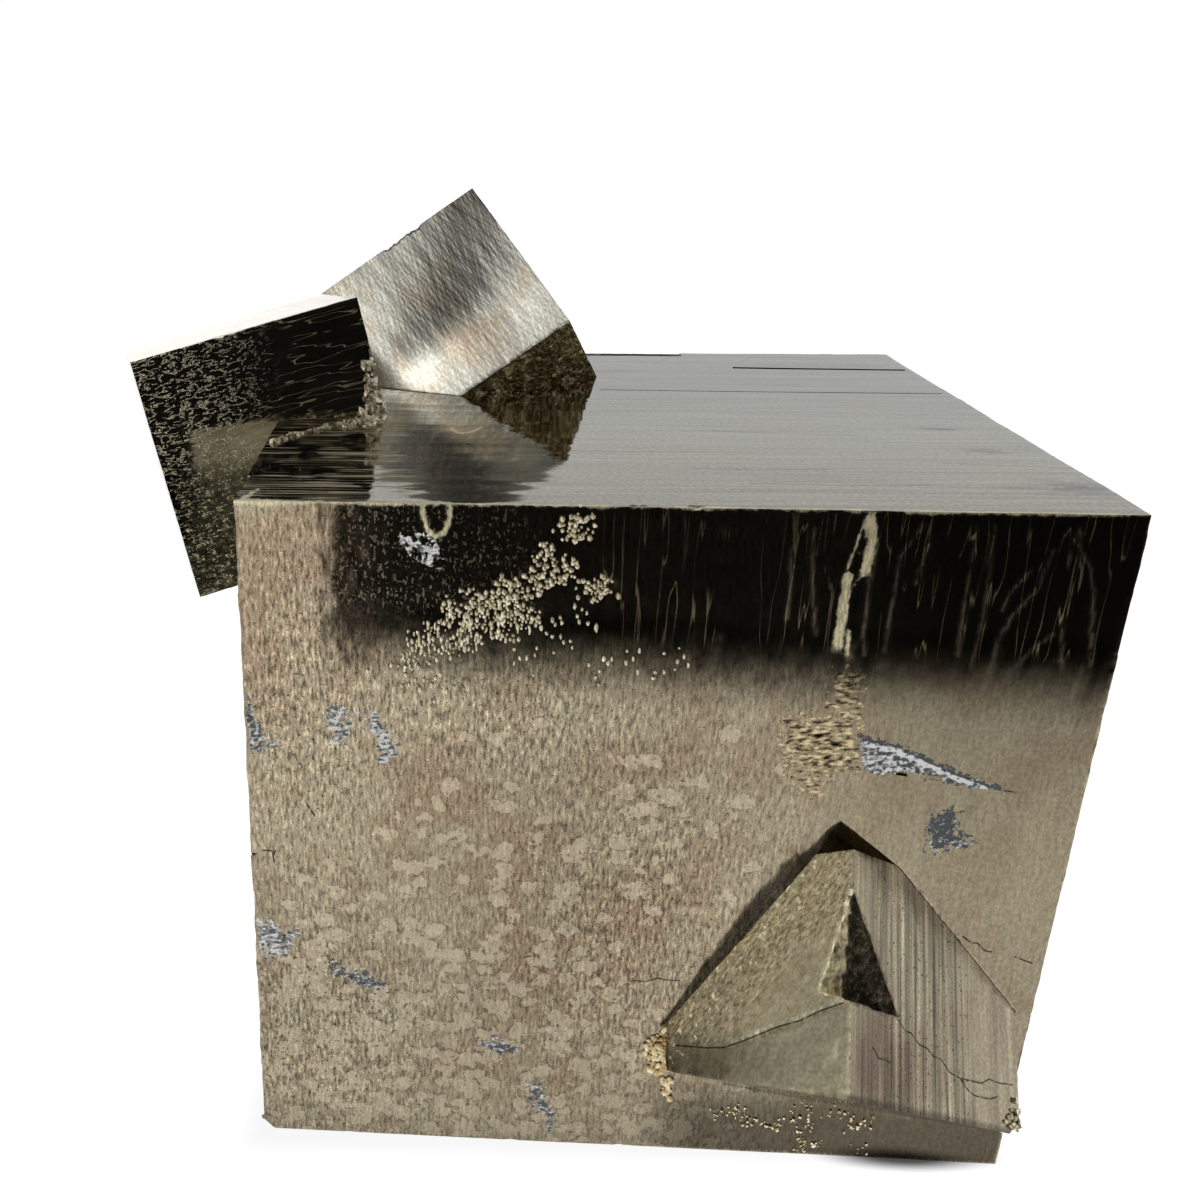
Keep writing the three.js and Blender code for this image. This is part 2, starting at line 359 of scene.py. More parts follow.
def flat_areas():
    owner = {}
    areas = []
    for seed in sorted(skin.faces, key=lambda face: -face.calc_area()):
        if seed.index in owner:
            continue
        spot = seed.verts[0].co
        owner[seed.index] = len(areas)
        group = [seed]
        for face in group:
            for neighbour in {other for edge in face.edges for other in edge.link_faces}:
                off_by = max(abs((corner.co - spot).dot(seed.normal)) for corner in neighbour.verts)
                if neighbour.index not in owner and off_by < FLATNESS:
                    owner[neighbour.index] = len(areas)
                    group.append(neighbour)
        areas.append(group)
    return areas, owner


areas, area_of = flat_areas()
print("triangles:", len(skin.faces), "flat areas:", len(areas))

# %% Which cube face each flat area is
SAME_WAY = math.cos(math.radians(7))
NEAR_PLANE = 0.6
STEP_REACH = 0.5
PIT_DEPTH = 0.03
FORWARD = -0.1
SIDE_MARGIN = 0.5
ROUGH_PATCH_BOX = ((7.5, 32.2), (13.2, 36.9))


def off_plane(name, place):
    return place @ planes[name]["normal"] - planes[name]["reach"]


def in_box(place, box):
    (low_x, low_z), (high_x, high_z) = box
    return low_x < place[0] < high_x and low_z < place[2] < high_z


def nearest_plane(names, place):
    return min(names, key=lambda name: abs(off_plane(name, place)))


def kind_of(normal, middle):
    sunk = -STEP_REACH < off_plane("large_front", middle) < -PIT_DEPTH and normal[1] < FORWARD
    if sunk and abs(middle[0]) < LARGE_REACH["left"] - SIDE_MARGIN:
        return "rough_patch" if in_box(middle, ROUGH_PATCH_BOX) else "pit"
    same = [name for name in planes if normal @ planes[name]["normal"] > SAME_WAY]
    close = [name for name in same if abs(off_plane(name, middle)) < NEAR_PLANE]
    if close:
        return nearest_plane(close, middle)
    large = [name for name in planes if name.startswith("large")]
    steps = [name for name in large if abs(off_plane(name, middle)) < STEP_REACH]
    return nearest_plane(steps, middle) if steps else "broken"


def measure(group):
    """The outward normal, the middle in mm and the size in mm2 of a flat area."""
    sizes = np.array([face.calc_area() for face in group])
    middles = np.array([face.calc_center_median() for face in group])
    middle = (middles * sizes[:, None]).sum(0) / sizes.sum() / MM
    return np.array(group[0].normal), middle, sizes.sum() / MM**2


measures = [measure(group) for group in areas]
kinds = [kind_of(normal, middle) for normal, middle, _ in measures]
for kind in sorted(set(kinds)):
    total = sum(size for (_, _, size), name in zip(measures, kinds) if name == kind)
    print(kind, kinds.count(kind), "areas,", round(total, 1), "mm2")

# %% [markdown]
# ## A fine skin on the same planes
# Relief needs vertices to move, and the CAD skin has only large triangles. Subdividing them would give
# long slivers. Instead the borders between flat areas are cut into short steps, each area is filled with a
# staggered grid of points, and a Delaunay triangulation joins them. The result is one closed skin that
# still lies exactly on the CAD planes. Faces with long lines get points close together across the lines,
# and cracks get a row of points of their own, so that they stay thin and unbroken.

# %% Cracks, as points on their faces in mm
def on_large(side, places):
    """Points of a large cube face from their two coordinates across it."""
    plane = planes[f"large_{side}"]
    out = int(np.argmax(np.abs(plane["normal"])))
    across = [axis for axis in range(3) if axis != out]
    found = np.zeros((len(places), 3))
    found[:, across] = places
    rest = plane["reach"] - found @ np.where(np.arange(3) == out, 0, plane["normal"])
    found[:, out] = rest / plane["normal"][out]
    return found


def on_corner(side, places):
    """Points of the corner cube's front (X, Z) or left (Y, Z) face."""
    full = [(first, 0, up) if side == "front" else (0, first, up) for first, up in places]
    return np.array(full) @ turn_of(CORNER_CUBE).T + CORNER_CUBE["corner"]


FRONT_CRACKS = [
    [(-0.5, 15.3), (0.4, 15.2), (1.2, 15.6), (2.1, 15.4), (2.9, 15.5)],
    [(-23.8, 28.6), (-23.5, 28.1), (-23.2, 27.6)],
    [(-22.5, 16.2), (-22.3, 15.2), (-21.9, 14.7)],
    [(-26.9, 24.7), (-26.0, 24.75), (-26.2, 24.3), (-26.1, 23.7)],
    [(-8.4, 16.8), (-7.9, 17.0)],
    [(26.2, 18.9), (27.0, 18.6), (27.6, 18.4)],
    [(22.3, 20.4), (23.0, 19.9), (23.4, 19.9), (24.0, 19.3), (24.6, 19.2)],
]
CORNER_LEFT_CRACK = [
    (15.6, 3.1), (12.5, 2.95), (10.8, 3.0), (9.2, 3.4), (6, 4.4), (4.1, 4.8), (2.5, 5.4), (0.6, 5.9),
]
CORNER_FRONT_CRACKS = [
    [
        (4.9, 5.6), (5.6, 5.0), (6.2, 5.0), (7.1, 4.4), (7.9, 4.3),
        (8.6, 3.9), (9.5, 3.8), (10.5, 3.1), (11.6, 2.9), (13.0, 2.9),
    ],
    [(13.0, 2.9), (14.1, 2.9), (15.0, 3.3), (16.1, 3.2), (17.9, 3.3)],
    [(11.6, 2.9), (12.4, 2.3), (13.2, 2.0), (15.0, 2.0), (16.0, 2.3)],
    [(2.2, 3.5), (2.8, 2.9), (3.4, 2.95), (4.0, 2.8)],
]
TOP_CRACKS = [
    [(4.0, -7.9), (9.5, -8.9), (15.8, -9.4)],
    [(1.6, -18.9), (6, -19.3), (11.1, -19.1)],
    [(19.5, -17.3), (25, -17.9), (28.3, -18.4)],
    [(19.8, -6.4), (21.4, -6.7), (23.8, -7.4)],
    [(-8.0, -14.2), (-2, -14.6), (3.5, -14.4)],
    [(5, -22.6), (12, -22.9), (17, -22.7)],
    [(13, 9.2), (16, 8.6)],
]
CRACKS = {
    "large_front": [on_large("front", line) for line in FRONT_CRACKS],
    "large_top": [on_large("top", line) for line in TOP_CRACKS],
    "corner_left": [on_corner("left", CORNER_LEFT_CRACK)],
    "corner_front": [on_corner("front", line) for line in CORNER_FRONT_CRACKS],
}
print("cracks:", sum(len(lines) for lines in CRACKS.values()))

# %% Pale lines, with their half widths, and faint lines
PALE_LOOP = [
    (-16.3, 50.7), (-16.2, 49.4), (-15.9, 48.6), (-15.4, 48.2), (-14.9, 48.5), (-14.6, 49.3), (-14.5, 50.7),
]
FRONT_PALE_LINES = [
    (0.13, PALE_LOOP),
    (0.3, [(11.4, 50.8), (11.65, 49.3), (11.5, 47.2)]),
    (0.06, [(11.0, 50.6), (10.7, 48.7), (10.4, 47.3)]),
    (0.3, [(10.5, 46.9), (10.5, 45.3), (10.5, 43.3), (10.5, 42.2)]),
    (0.06, [(10.5, 46.5), (11.0, 46.4), (11.5, 47.1)]),
    (0.12, [(11.1, 43.1), (11.2, 41.5)]),
]
FAINT_LINES = [
    [(14.7, 50.5), (13.6, 48.4), (13.6, 46.6), (13.5, 43.9), (13.5, 41.9)],
    [(19.1, 50.5), (19.1, 48.7), (19.3, 46.3), (19.4, 44.0), (19.2, 41.0)],
    [(17.9, 50.5), (18.0, 48.0), (18.1, 44.6), (18.2, 41.8)],
    [(22.9, 49.2), (22.4, 46.5), (21.2, 44.7), (20.6, 43.0), (20.5, 41.2)],
    [(21.8, 47.8), (20.9, 46.5), (20.4, 45.0)],
    [(24.0, 50.0), (25.3, 48.3), (25.9, 46.7), (26.3, 44.2), (26.8, 41.5)],
    [(12.0, 49.5), (11.9, 46.6), (12.0, 43.2), (12.3, 41.5)],
    [(24.3, 44.8), (24.7, 42.8), (25.0, 41.2)],
    [(6.8, 48.4), (7.0, 46.0), (7.1, 43.7)],
    [(8.0, 49.9), (8.2, 47.3), (9.0, 42.7)],
    [(23.9, 43.5), (22.8, 42.4), (22.1, 41.2)],
    [(15.2, 49.2), (15.0, 48.1), (14.8, 46.5)],
]
TOP_PALE_LINES = [
    (0.22, [(-15.0, -7.8), (-14.7, -8.9), (-14.2, -9.6), (-13.4, -8.9), (-12.7, -7.4)]),
    (0.12, [(-13.9, -8.0), (-13.2, -7.4), (-12.2, -7.0)]),
]
PALE_LINES = {
    "large_front": [(half, on_large("front", line)) for half, line in FRONT_PALE_LINES],
    "large_top": [(half, on_large("top", line)) for half, line in TOP_PALE_LINES],
}
THIN_LINES = {"large_front": [on_large("front", line) for line in FAINT_LINES]}
print("pale lines:", sum(len(lines) for lines in PALE_LINES.values()), "faint lines:", len(FAINT_LINES))

# %% Point spacing in mm, along and across the growth lines
SPACING = {
    "large_front": (0.28, 0.25), "large_top": (0.6, 0.25), "large_bottom": (3.0, 3.0),
    "large_left": (1.0, 0.5), "large_right": (1.0, 0.5), "large_back": (1.0, 0.5),
    "left_front": (0.27, 0.23), "behind_front": (0.45, 0.22), "behind_bottom": (0.22, 0.2),
    "corner_left": (0.26, 0.22), "corner_front": (0.4, 0.2), "pit": (0.2, 0.17),
    "rough_patch": (0.15, 0.13), "broken": (0.24, 0.2),
}
USUAL_SPACING = (0.7, 0.45)
BORDER_STRETCH = 1.1
LINE_STEP = 0.11
QUICK_FACTOR = 1.0
EDGE_CLEARANCE = 0.55
JITTER = 0.12
rng = np.random.default_rng(7)


def spacing_of(kind):
    return np.array(SPACING.get(kind, USUAL_SPACING)) * QUICK_FACTOR


points = [np.array(corner.co) / MM for corner in skin.verts]
chains = {}
for edge in skin.edges:
    sides = [area_of[face.index] for face in edge.link_faces]
    if sides[0] == sides[1]:
        continue
    step = min(spacing_of(kinds[side])[1] for side in sides) * BORDER_STRETCH
    first, last = edge.verts[0].index, edge.verts[1].index
    count = max(1, math.ceil(edge.calc_length() / MM / step))
    inner = []
    for share in np.arange(1, count) / count:
        inner.append(len(points))
        points.append(points[first] * (1 - share) + points[last] * share)
    chains[edge.index] = [first, *inner, last]
print("border points:", len(points))


# %% Points inside an area
ROW_STARTS = (0.25, 0.75)


def inside(places, borders):
    """Which flat places lie inside the borders, by counting the borders to their right."""
    hits = np.zeros(len(places), bool)
    for (ax, ay), (bx, by) in borders:
        if ay == by:
            continue
        crosses = (ay > places[:, 1]) != (by > places[:, 1])
        at = ax + (places[:, 1] - ay) / (by - ay) * (bx - ax)
        hits ^= crosses & (places[:, 0] < at)
    return hits


def grid_points(low, high, along, across):
    """A staggered grid of points, each moved a little at random."""
    rows = np.arange(low[1] + across / 2, high[1], across)
    found = [np.zeros((0, 2))]
    for number, row in enumerate(rows):
        start = low[0] + along * ROW_STARTS[number % 2]
        line = np.arange(start, high[0], along)
        found.append(np.column_stack([line, np.full(len(line), row)]))
    places = np.concatenate(found)
    return places + rng.uniform(-JITTER, JITTER, places.shape) * (along, across)


def line_points(kind, axes, step):
    """Rows of points along the cracks and lines of a face."""
    found = [np.zeros((0, 2))]
    pale = [line for _, line in PALE_LINES.get(kind, [])]
    for line in CRACKS.get(kind, []) + pale + THIN_LINES.get(kind, []):
        flat = line @ axes
        for start, end in zip(flat, flat[1:]):
            count = max(2, math.ceil(np.linalg.norm(end - start) / step))
            found.append(start + (end - start) * (np.arange(count) / count)[:, None])
    return np.concatenate(found)


def clear_of(border, filling, distance):
    """The points of the filling that keep a distance from the border."""
    if len(border) == 0:
        return filling
    tree = KDTree(len(border))
    for number, place in enumerate(border):
        tree.insert((*place, 0), number)
    tree.balance()
    kept = [place for place in filling if tree.find((*place, 0))[2] > distance]
    return np.array(kept).reshape(-1, 2)


# %% Triangles of an area
SAME_SPOT = 1e-7


def border_walks(group):
    """The borders of an area as runs of points, each with the area on its left."""
    walks = []
    for face in group:
        for loop in face.loops:
            if loop.edge.index in chains:
                chain = chains[loop.edge.index]
                walks.append(chain if loop.vert.index == chain[0] else chain[::-1])
    return walks


def join_points(flat, edges, border_count):
    """Delaunay triangles of the points, without those that lie across the border."""
    places = [Vector(place) for place in flat]
    _, _, faces, sources, _, _ = delaunay_2d_cdt(places, edges, [], 0, SAME_SPOT)
    source = np.array([found[0] for found in sources])
    triangles = source[np.array([list(face) for face in faces])]
    corners = flat[triangles]
    first_side, second_side = corners[:, 1] - corners[:, 0], corners[:, 2] - corners[:, 0]
    turn = first_side[:, 0] * second_side[:, 1] - first_side[:, 1] * second_side[:, 0]
    if turn.sum() < 0:
        triangles = triangles[:, ::-1]
    return triangles[within(triangles.tolist(), set(edges), border_count)]


def within(triangles, leftward, border_count):
    """Which triangles lie in the area: those left of a border, and all that they reach."""
    verdicts = []
    beside = {}
    for number, (first, second, third) in enumerate(triangles):
        sides = [(first, second), (second, third), (third, first)]
        verdict = max(first, second, third) >= border_count or any(side in leftward for side in sides)
        outside = any(side[::-1] in leftward for side in sides)
        verdicts.append(True if verdict else False if outside else None)
        for side in sides:
            beside.setdefault(frozenset(side), []).append(number)
    waiting = [number for number, verdict in enumerate(verdicts) if verdict is None]
    while waiting:
        for number in waiting:
            first, second, third = triangles[number]
            for side in ((first, second), (second, third), (third, first)):
                for other in beside[frozenset(side)]:
                    verdicts[number] = verdicts[other] if verdicts[number] is None else verdicts[number]
        waiting = [number for number in waiting if verdicts[number] is None]
    return np.array(verdicts, bool)


# %% Fill each flat area
SHORT_LINE = 0.2


def face_axes(kind, normal):
    """Two directions in a face: along its growth lines and across them."""
    along = planes[kind]["along"] if kind in planes else np.array((0.0, 0.0, 1.0))
    along = along - normal * (along @ normal)
    if np.linalg.norm(along) < SHORT_LINE:
        along = np.array((1.0, 0.0, 0.0)) - normal * normal[0]
    along = along / np.linalg.norm(along)
    return np.column_stack([along, np.cross(normal, along)])


def fill(index, group):
    """The points and triangles of one flat area, with its own flat coordinates."""
    kind = kinds[index]
    normal, middle, _ = measures[index]
    axes = face_axes(kind, normal)
    walks = border_walks(group)
    border_lines = [[points[walk[0]] @ axes, points[walk[-1]] @ axes] for walk in walks]
    pairs = [pair for walk in walks for pair in zip(walk, walk[1:])]
    ids = sorted({point for pair in pairs for point in pair})
    border = np.array([points[point] for point in ids]) @ axes
    step_along, step_across = spacing_of(kind)
    clearance = EDGE_CLEARANCE * step_across
    rows = line_points(kind, axes, LINE_STEP * QUICK_FACTOR)
    rows = clear_of(border, rows[inside(rows, border_lines)], clearance)
    filling = grid_points(border.min(0), border.max(0), step_along, step_across)
    filling = filling[inside(filling, border_lines)]
    filling = clear_of(rows, clear_of(border, filling, clearance), clearance)
    flat = np.concatenate([border, rows, filling])
    level = middle @ normal
    first_new = len(points)
    points.extend(place @ axes.T + normal * level for place in flat[len(border):])
    ids = np.array(ids + list(range(first_new, len(points))))
    local = {point: number for number, point in enumerate(ids)}
    edges = [(local[first], local[last]) for first, last in pairs]
    triangles = join_points(flat, edges, len(border))
    return {
        "kind": kind, "normal": normal, "axes": axes,
        "ids": ids, "flat": flat, "triangles": triangles,
    }


patches = [fill(index, group) for index, group in enumerate(areas)]
points = np.array(points)
triangle_count = sum(len(patch["triangles"]) for patch in patches)
print("fine skin:", len(points), "points,", triangle_count, "triangles")

# %% [markdown]
# ## Relief
# Pyrite faces aren't flat: thin growth layers end in steps, broad waves bend the reflections, and small
# lumps roughen parts of them. A displacement modifier moves a point along one normal, but a point on a
# border belongs to two or three flat areas, each with a relief of its own. So each area gets a height for
# every point, from smooth random values that are the same on each run, and a small least squares sum finds
# the one move that suits them all. Edges are worn inwards by a few hundredths of a mm, with rare deeper
# chips.

# %% Random fields
TABLE = 128
FAR = 9.0
STEP_START = 0.72


def noise(u, v, seed):
    """Smooth random values from -1 to 1, one draw to a unit square."""
    table = np.random.default_rng(seed).uniform(-1, 1, (TABLE, TABLE))
    iu, iv = np.floor(u).astype(int), np.floor(v).astype(int)
    fu, fv = u - iu, v - iv
    su, sv = fu * fu * (3 - 2 * fu), fv * fv * (3 - 2 * fv)
    iu, iv, next_u, next_v = iu % TABLE, iv % TABLE, (iu + 1) % TABLE, (iv + 1) % TABLE
    low = table[iu, iv] * (1 - su) + table[next_u, iv] * su
    high = table[iu, next_v] * (1 - su) + table[next_u, next_v] * su
    return low * (1 - sv) + high * sv


def rough_noise(u, v, seed, layers=3):
    """Layers of noise, each twice as fine and half as strong as the one before."""
    total = np.zeros_like(u)
    for layer in range(layers):
        total += noise(u * 2**layer, v * 2**layer, seed + layer) / 2**layer
    return total


def smooth(low, high, value):
    """A soft step from 0 at low to 1 at high. Low may be the larger of the two."""
    share = np.clip((value - low) / (high - low), 0, 1)
    return share * share * (3 - 2 * share)


def blob(u, v, middle, reach):
    """1 at the middle of an oval spot, falling to 0 well outside its reach."""
    return np.exp(-((u - middle[0]) / reach[0]) ** 2 - ((v - middle[1]) / reach[1]) ** 2)


def blobs(u, v, spots):
    """Oval spots added up. Each has an amount, a middle and a reach."""
    return sum(amount * blob(u, v, middle, reach) for amount, middle, reach in spots)


def growth_steps(along, across, seed, width, sway):
    """Flat strips of random height with a sharp step between them, as growth layers end."""
    warped = across / width + sway * rough_noise(along / (14 * width), across / (5 * width), seed, 2)
    number = np.floor(warped).astype(int)
    heights = np.random.default_rng(seed).uniform(-1, 1, TABLE)
    step = smooth(STEP_START, 1.0, warped - number)
    return heights[number % TABLE] * (1 - step) + heights[(number + 1) % TABLE] * step


def line_distance(flat, line):
    """How far each flat place is from a line of points."""
    nearest = np.full(len(flat), FAR)
    for start, end in zip(line, line[1:]):
        run = end - start
        share = np.clip((flat - start) @ run / (run @ run), 0, 1)
        nearest = np.minimum(nearest, np.linalg.norm(flat - start - share[:, None] * run, axis=1))
    return nearest


# %% Relief of the front face
CLUSTER_LINE = np.array([(-5.0, 47.6), (-9.0, 45.2), (-13.0, 42.6), (-17.2, 39.0)])
CLUSTER_REACH = 1.5
CURTAIN_MIDDLE = -3.6
CURTAIN_REACH = 2.2
PALE_LINE_RISE = 0.02
FRONT_WAVE = 0.03
FRONT_LUMPS = {
    "curtain": {"height": 0.045, "sizes": (0.6, 2.5), "seed": 13},
    "mottled": {"height": 0.006, "sizes": (0.7, 0.9), "seed": 14},
    "leftmost": {"height": 0.004, "sizes": (0.5, 1.6), "seed": 16},
    "cluster": {"height": 0.01, "sizes": (0.7, 1.2), "seed": 17},
    "everywhere": {"height": 0.003, "sizes": (0.6, 1.8), "seed": 15},
}


def pale_depth(flat, lines):
    """How far inside the nearest pale line each flat place is, in mm."""
    return np.max([half - line_distance(flat, np.array(line)) for half, line in lines], axis=0)


def front_height(x, z):
    """Broad waves and growth steps, with finer lumps in some places, in mm."""
    flat = np.column_stack([x, z])
    where = {
        "curtain": np.exp(-((x - CURTAIN_MIDDLE) / CURTAIN_REACH) ** 2) * smooth(42, 45, z),
        "mottled": smooth(-23, -20, x) * smooth(-6, -10, x) * smooth(42, 44.5, z),
        "leftmost": smooth(-19.0, -22, x) * smooth(30, 40, z),
        "cluster": np.exp(-((line_distance(flat, CLUSTER_LINE) / CLUSTER_REACH) ** 2)),
        "everywhere": 1.0,
    }
    quiet = 1 - smooth(-15.5, -18, x) * smooth(37, 41, z)
    step_height = (0.004 + 0.004 * smooth(36, 45, z) + 0.05 * where["curtain"]) * quiet
    height = FRONT_WAVE * rough_noise(x / 9, z / 14, seed=11)
    height += step_height * growth_steps(z, x, seed=12, width=1.1, sway=1.6)
    for name, lumps in FRONT_LUMPS.items():
        size_x, size_z = lumps["sizes"]
        height += lumps["height"] * where[name] * rough_noise(x / size_x, z / size_z, lumps["seed"])
    return height + PALE_LINE_RISE * smooth(-0.14, 0.1, pale_depth(flat, FRONT_PALE_LINES))


# %% Heights of the other faces, in mm
GRANULE_HEIGHT = 0.035
SIDE_PIT_DEPTH = 0.12


def lined_height(along, across, seed, depth, width, wave):
    """Growth steps in two sizes on a broad wave."""
    height = wave * rough_noise(along / 12, across / 8, seed)
    height += depth * growth_steps(along, across, seed + 3, width, sway=1.2)
    return height + 0.35 * depth * growth_steps(along, across, seed + 5, width / 3, sway=1.5)


def grainy_height(along, across, seed, depth, size):
    """Lumps of one size on broader ones."""
    lumps = rough_noise(along / size, across / size, seed)
    return depth * lumps + depth * noise(along / 4, across / 4, seed + 9)


def side_pits(along, across, seed):
    """1 in small pits, which keep to some parts of a face."""
    pits = smooth(0.6, 0.85, noise(along / 2.4, across / 1.5, seed + 23))
    return pits * smooth(0.0, 0.4, noise(along / 11, across / 11, seed + 24))


def side_patches(along, across, seed):
    """1 in the granular parts of a face."""
    return smooth(0.1, 0.6, rough_noise(along / 14, across / 9, seed + 21, 2))


def side_height(along, across, seed):
    """Faces that the photograph doesn't show: lined, with some granular and pitted areas."""
    height = lined_height(along, across, seed, depth=0.03, width=1.5, wave=0.06)
    granules = rough_noise(along / 1.6, across / 0.9, seed + 22)
    height += GRANULE_HEIGHT * side_patches(along, across, seed) * granules
    return height - SIDE_PIT_DEPTH * side_pits(along, across, seed)


def left_front_height(along, across, seed):
    """A wavy face with narrow growth steps."""
    height = 0.012 * rough_noise(along / 5, across / 4, seed)
    return height + 0.01 * growth_steps(along, across, seed + 1, width=0.7, sway=1.4)


RELIEF_OF = {
    "broken": (grainy_height, {"depth": 0.05, "size": 0.6}),
    "behind_bottom": (grainy_height, {"depth": 0.045, "size": 0.7}),
    "corner_left": (grainy_height, {"depth": 0.012, "size": 0.6}),
    "left_front": (left_front_height, {}),
    "behind_front": (lined_height, {"depth": 0.002, "width": 0.5, "wave": 0.015}),
}
LARGE_RELIEF = (side_height, {})
SMALL_RELIEF = (lined_height, {"depth": 0.012, "width": 0.5, "wave": 0.025})


def height_of(patch, seed):
    """The heights of an area's points. The base stays flat, as the specimen stands on it."""
    kind = patch["kind"]
    along, across = patch["flat"].T
    if kind == "large_bottom":
        return np.zeros_like(along)
    usual = LARGE_RELIEF if kind.startswith("large") else SMALL_RELIEF
    relief, amounts = RELIEF_OF.get(kind, usual)
    return relief(along, across, seed, **amounts)


# %% The front face with its pits filled, and the top face with lower steps
FRONT_KINDS = ("large_front", "pit", "rough_patch")
MARL_LUMPS = 0.05
STEP_CUT = 0.82
TOP_SEED = 5
TOP_RELIEF = {"depth": 0.007, "width": 0.9, "wave": 0.02}


def unit_normal(name):
    normal = planes[name]["normal"]
    return normal / np.linalg.norm(normal)


front_normal = unit_normal("large_front")
top_normal = unit_normal("large_top")


def front_moves(places):
    """Heights over the front plane. Marl fills the pits, and the CAD ridge gives way to a broader one."""
    x, _, z = places.T
    off = off_plane("large_front", places)
    sunk = np.clip(-off, 0, STEP_REACH)
    lumps = rough_noise(x / 0.6, z / 0.6, 41) - 0.6
    filled = sunk * (1 + MARL_LUMPS * smooth(4, 7, x) * lumps)
    return front_height(x, z) + filled - np.clip(off, 0, STEP_REACH)


def top_moves(patch):
    """Heights over the top plane. The CAD steps are made lower, as they only show as thin lines."""
    off = np.clip(off_plane("large_top", points[patch["ids"]]), -STEP_REACH, STEP_REACH)
    return lined_height(*patch["flat"].T, TOP_SEED, **TOP_RELIEF) - STEP_CUT * off


# %% Wear of the edges
EDGE_WEAR = 0.022
CHIP_DEPTH = 0.2
SHARP_BORDER = math.radians(40)
worn = np.zeros(len(points))
for edge in skin.edges:
    if edge.index not in chains or not edge.is_convex or edge.calc_face_angle() < SHARP_BORDER:
        continue
    sides = {kinds[area_of[face.index]] for face in edge.link_faces}
    if len(sides) == 1 or sides <= set(FRONT_KINDS):
        continue
    chain = np.array(chains[edge.index])
    place = points[chain]
    lumps = noise(place[:, 0] / 0.5 + place[:, 2] / 0.45, place[:, 1] / 0.5, 91)
    rare = noise(place[:, 0] / 2.1 + place[:, 2] / 1.9, place[:, 1] / 2, 92)
    chips = CHIP_DEPTH * smooth(0.6, 0.95, rare) * np.abs(lumps)
    worn[chain] = EDGE_WEAR * (0.5 + 0.7 * np.abs(lumps)) + chips
print("worn border points:", int((worn > 0).sum()))

# %% Move the points
SOFTNESS = 0.02
CRACK_DEPTH = 0.03
CRACK_WIDTH = 0.12
FIRST_SEED = 100
SEED_STEP = 7


def crack_distance(patch):
    nearest = np.full(len(patch["flat"]), FAR)
    for line in CRACKS.get(patch["kind"], []):
        nearest = np.minimum(nearest, line_distance(patch["flat"], line @ patch["axes"]))
    return nearest


crack = np.full(len(points), FAR)
pulls = np.zeros((len(points), 3, 3)) + np.eye(3) * SOFTNESS
sums = np.zeros((len(points), 3))
for number, patch in enumerate(patches):
    patch["seed"] = FIRST_SEED + SEED_STEP * number
    ids = patch["ids"]
    if patch["kind"] in FRONT_KINDS:
        heights, way = front_moves(points[ids]), front_normal
    elif patch["kind"] == "large_top":
        heights, way = top_moves(patch), top_normal
    else:
        heights, way = height_of(patch, patch["seed"]), patch["normal"]
    if patch["kind"] != "large_bottom":
        heights = heights - worn[ids]
    near = crack_distance(patch)
    crack[ids] = np.minimum(crack[ids], near)
    if patch["kind"] != "large_top":
        heights = heights - CRACK_DEPTH * np.exp(-((near / CRACK_WIDTH) ** 2))
    np.add.at(pulls, ids, np.outer(way, way))
    np.add.at(sums, ids, heights[:, None] * way)
moves = np.linalg.solve(pulls, sums[:, :, None])[:, :, 0]
low, high = np.array(cad_box[0]) / MM, np.array(cad_box[1]) / MM
moved = np.clip(points + moves, low, high)
print("largest move in mm:", round(float(np.abs(moves).max()), 3))

# %% [markdown]
# ## Zones of the faces
# On the real faces some zones are rosy, some granular, some dark, and grey marl still clings in the pits.
# These zones could be painted, but they follow simple shapes: ovals, outlines and distances. So each is
# worked out from a point's place and kept on the mesh as a named value, which the materials then read.

# %% Outlines on the front face, X and Z in mm
MARL_OUTLINES = [
    [
        (12.7, 35.8), (15.6, 35.2), (19.8, 33.4), (24.0, 32.0), (21.7, 32.2),
        (18.7, 32.6), (16.0, 33.0), (13.8, 32.9), (13.3, 33.8),
    ],
    [(18.7, 30.3), (20.2, 30.4), (20.4, 29.0), (21.6, 28.1), (20.2, 27.4), (18.9, 27.2), (18.5, 27.7)],
    [(-22.5, 35.1), (-21.8, 36.1), (-21.0, 35.7), (-21.1, 34.0), (-21.9, 33.4)],
    [(-20.0, 35.8), (-19.0, 35.6), (-18.3, 34.5), (-17.7, 32.7), (-18.5, 32.1), (-19.1, 33.7)],
    [(-28.0, 37.0), (-27.4, 35.9), (-26.5, 33.7), (-25.8, 33.0), (-27.5, 32.7), (-28.0, 34.4)],
    [
        (-27.7, 18.9), (-26.7, 19.0), (-25.8, 17.8), (-24.5, 18.3),
        (-25.2, 16.5), (-26.5, 15.7), (-27.4, 16.8),
    ],
    [
        (-22.5, 15.8), (-21.2, 14.8), (-19.8, 14.9), (-18.2, 13.6),
        (-19.0, 13.4), (-20.9, 14.0), (-22.1, 14.8),
    ],
    [(-11.6, 9.5), (-10.2, 9.4), (-8.5, 8.8), (-9.4, 8.1), (-10.7, 8.3)],
    [(-7.7, 5.4), (-6.7, 5.7), (-6.2, 4.5), (-5.5, 2.1), (-5.5, 1.0), (-6.3, 2.6), (-7.4, 4.3)],
    [
        (-17.6, 48.2), (-16.7, 47.9), (-15.9, 48.0), (-15.2, 47.2),
        (-15.4, 46.3), (-16.1, 46.9), (-17.0, 47.4),
    ],
]
MARL_CHALK = [0.05, -0.2, 0.2, 0.2, -0.05, 0.2, -0.2, -0.2, -0.1, 0.35]
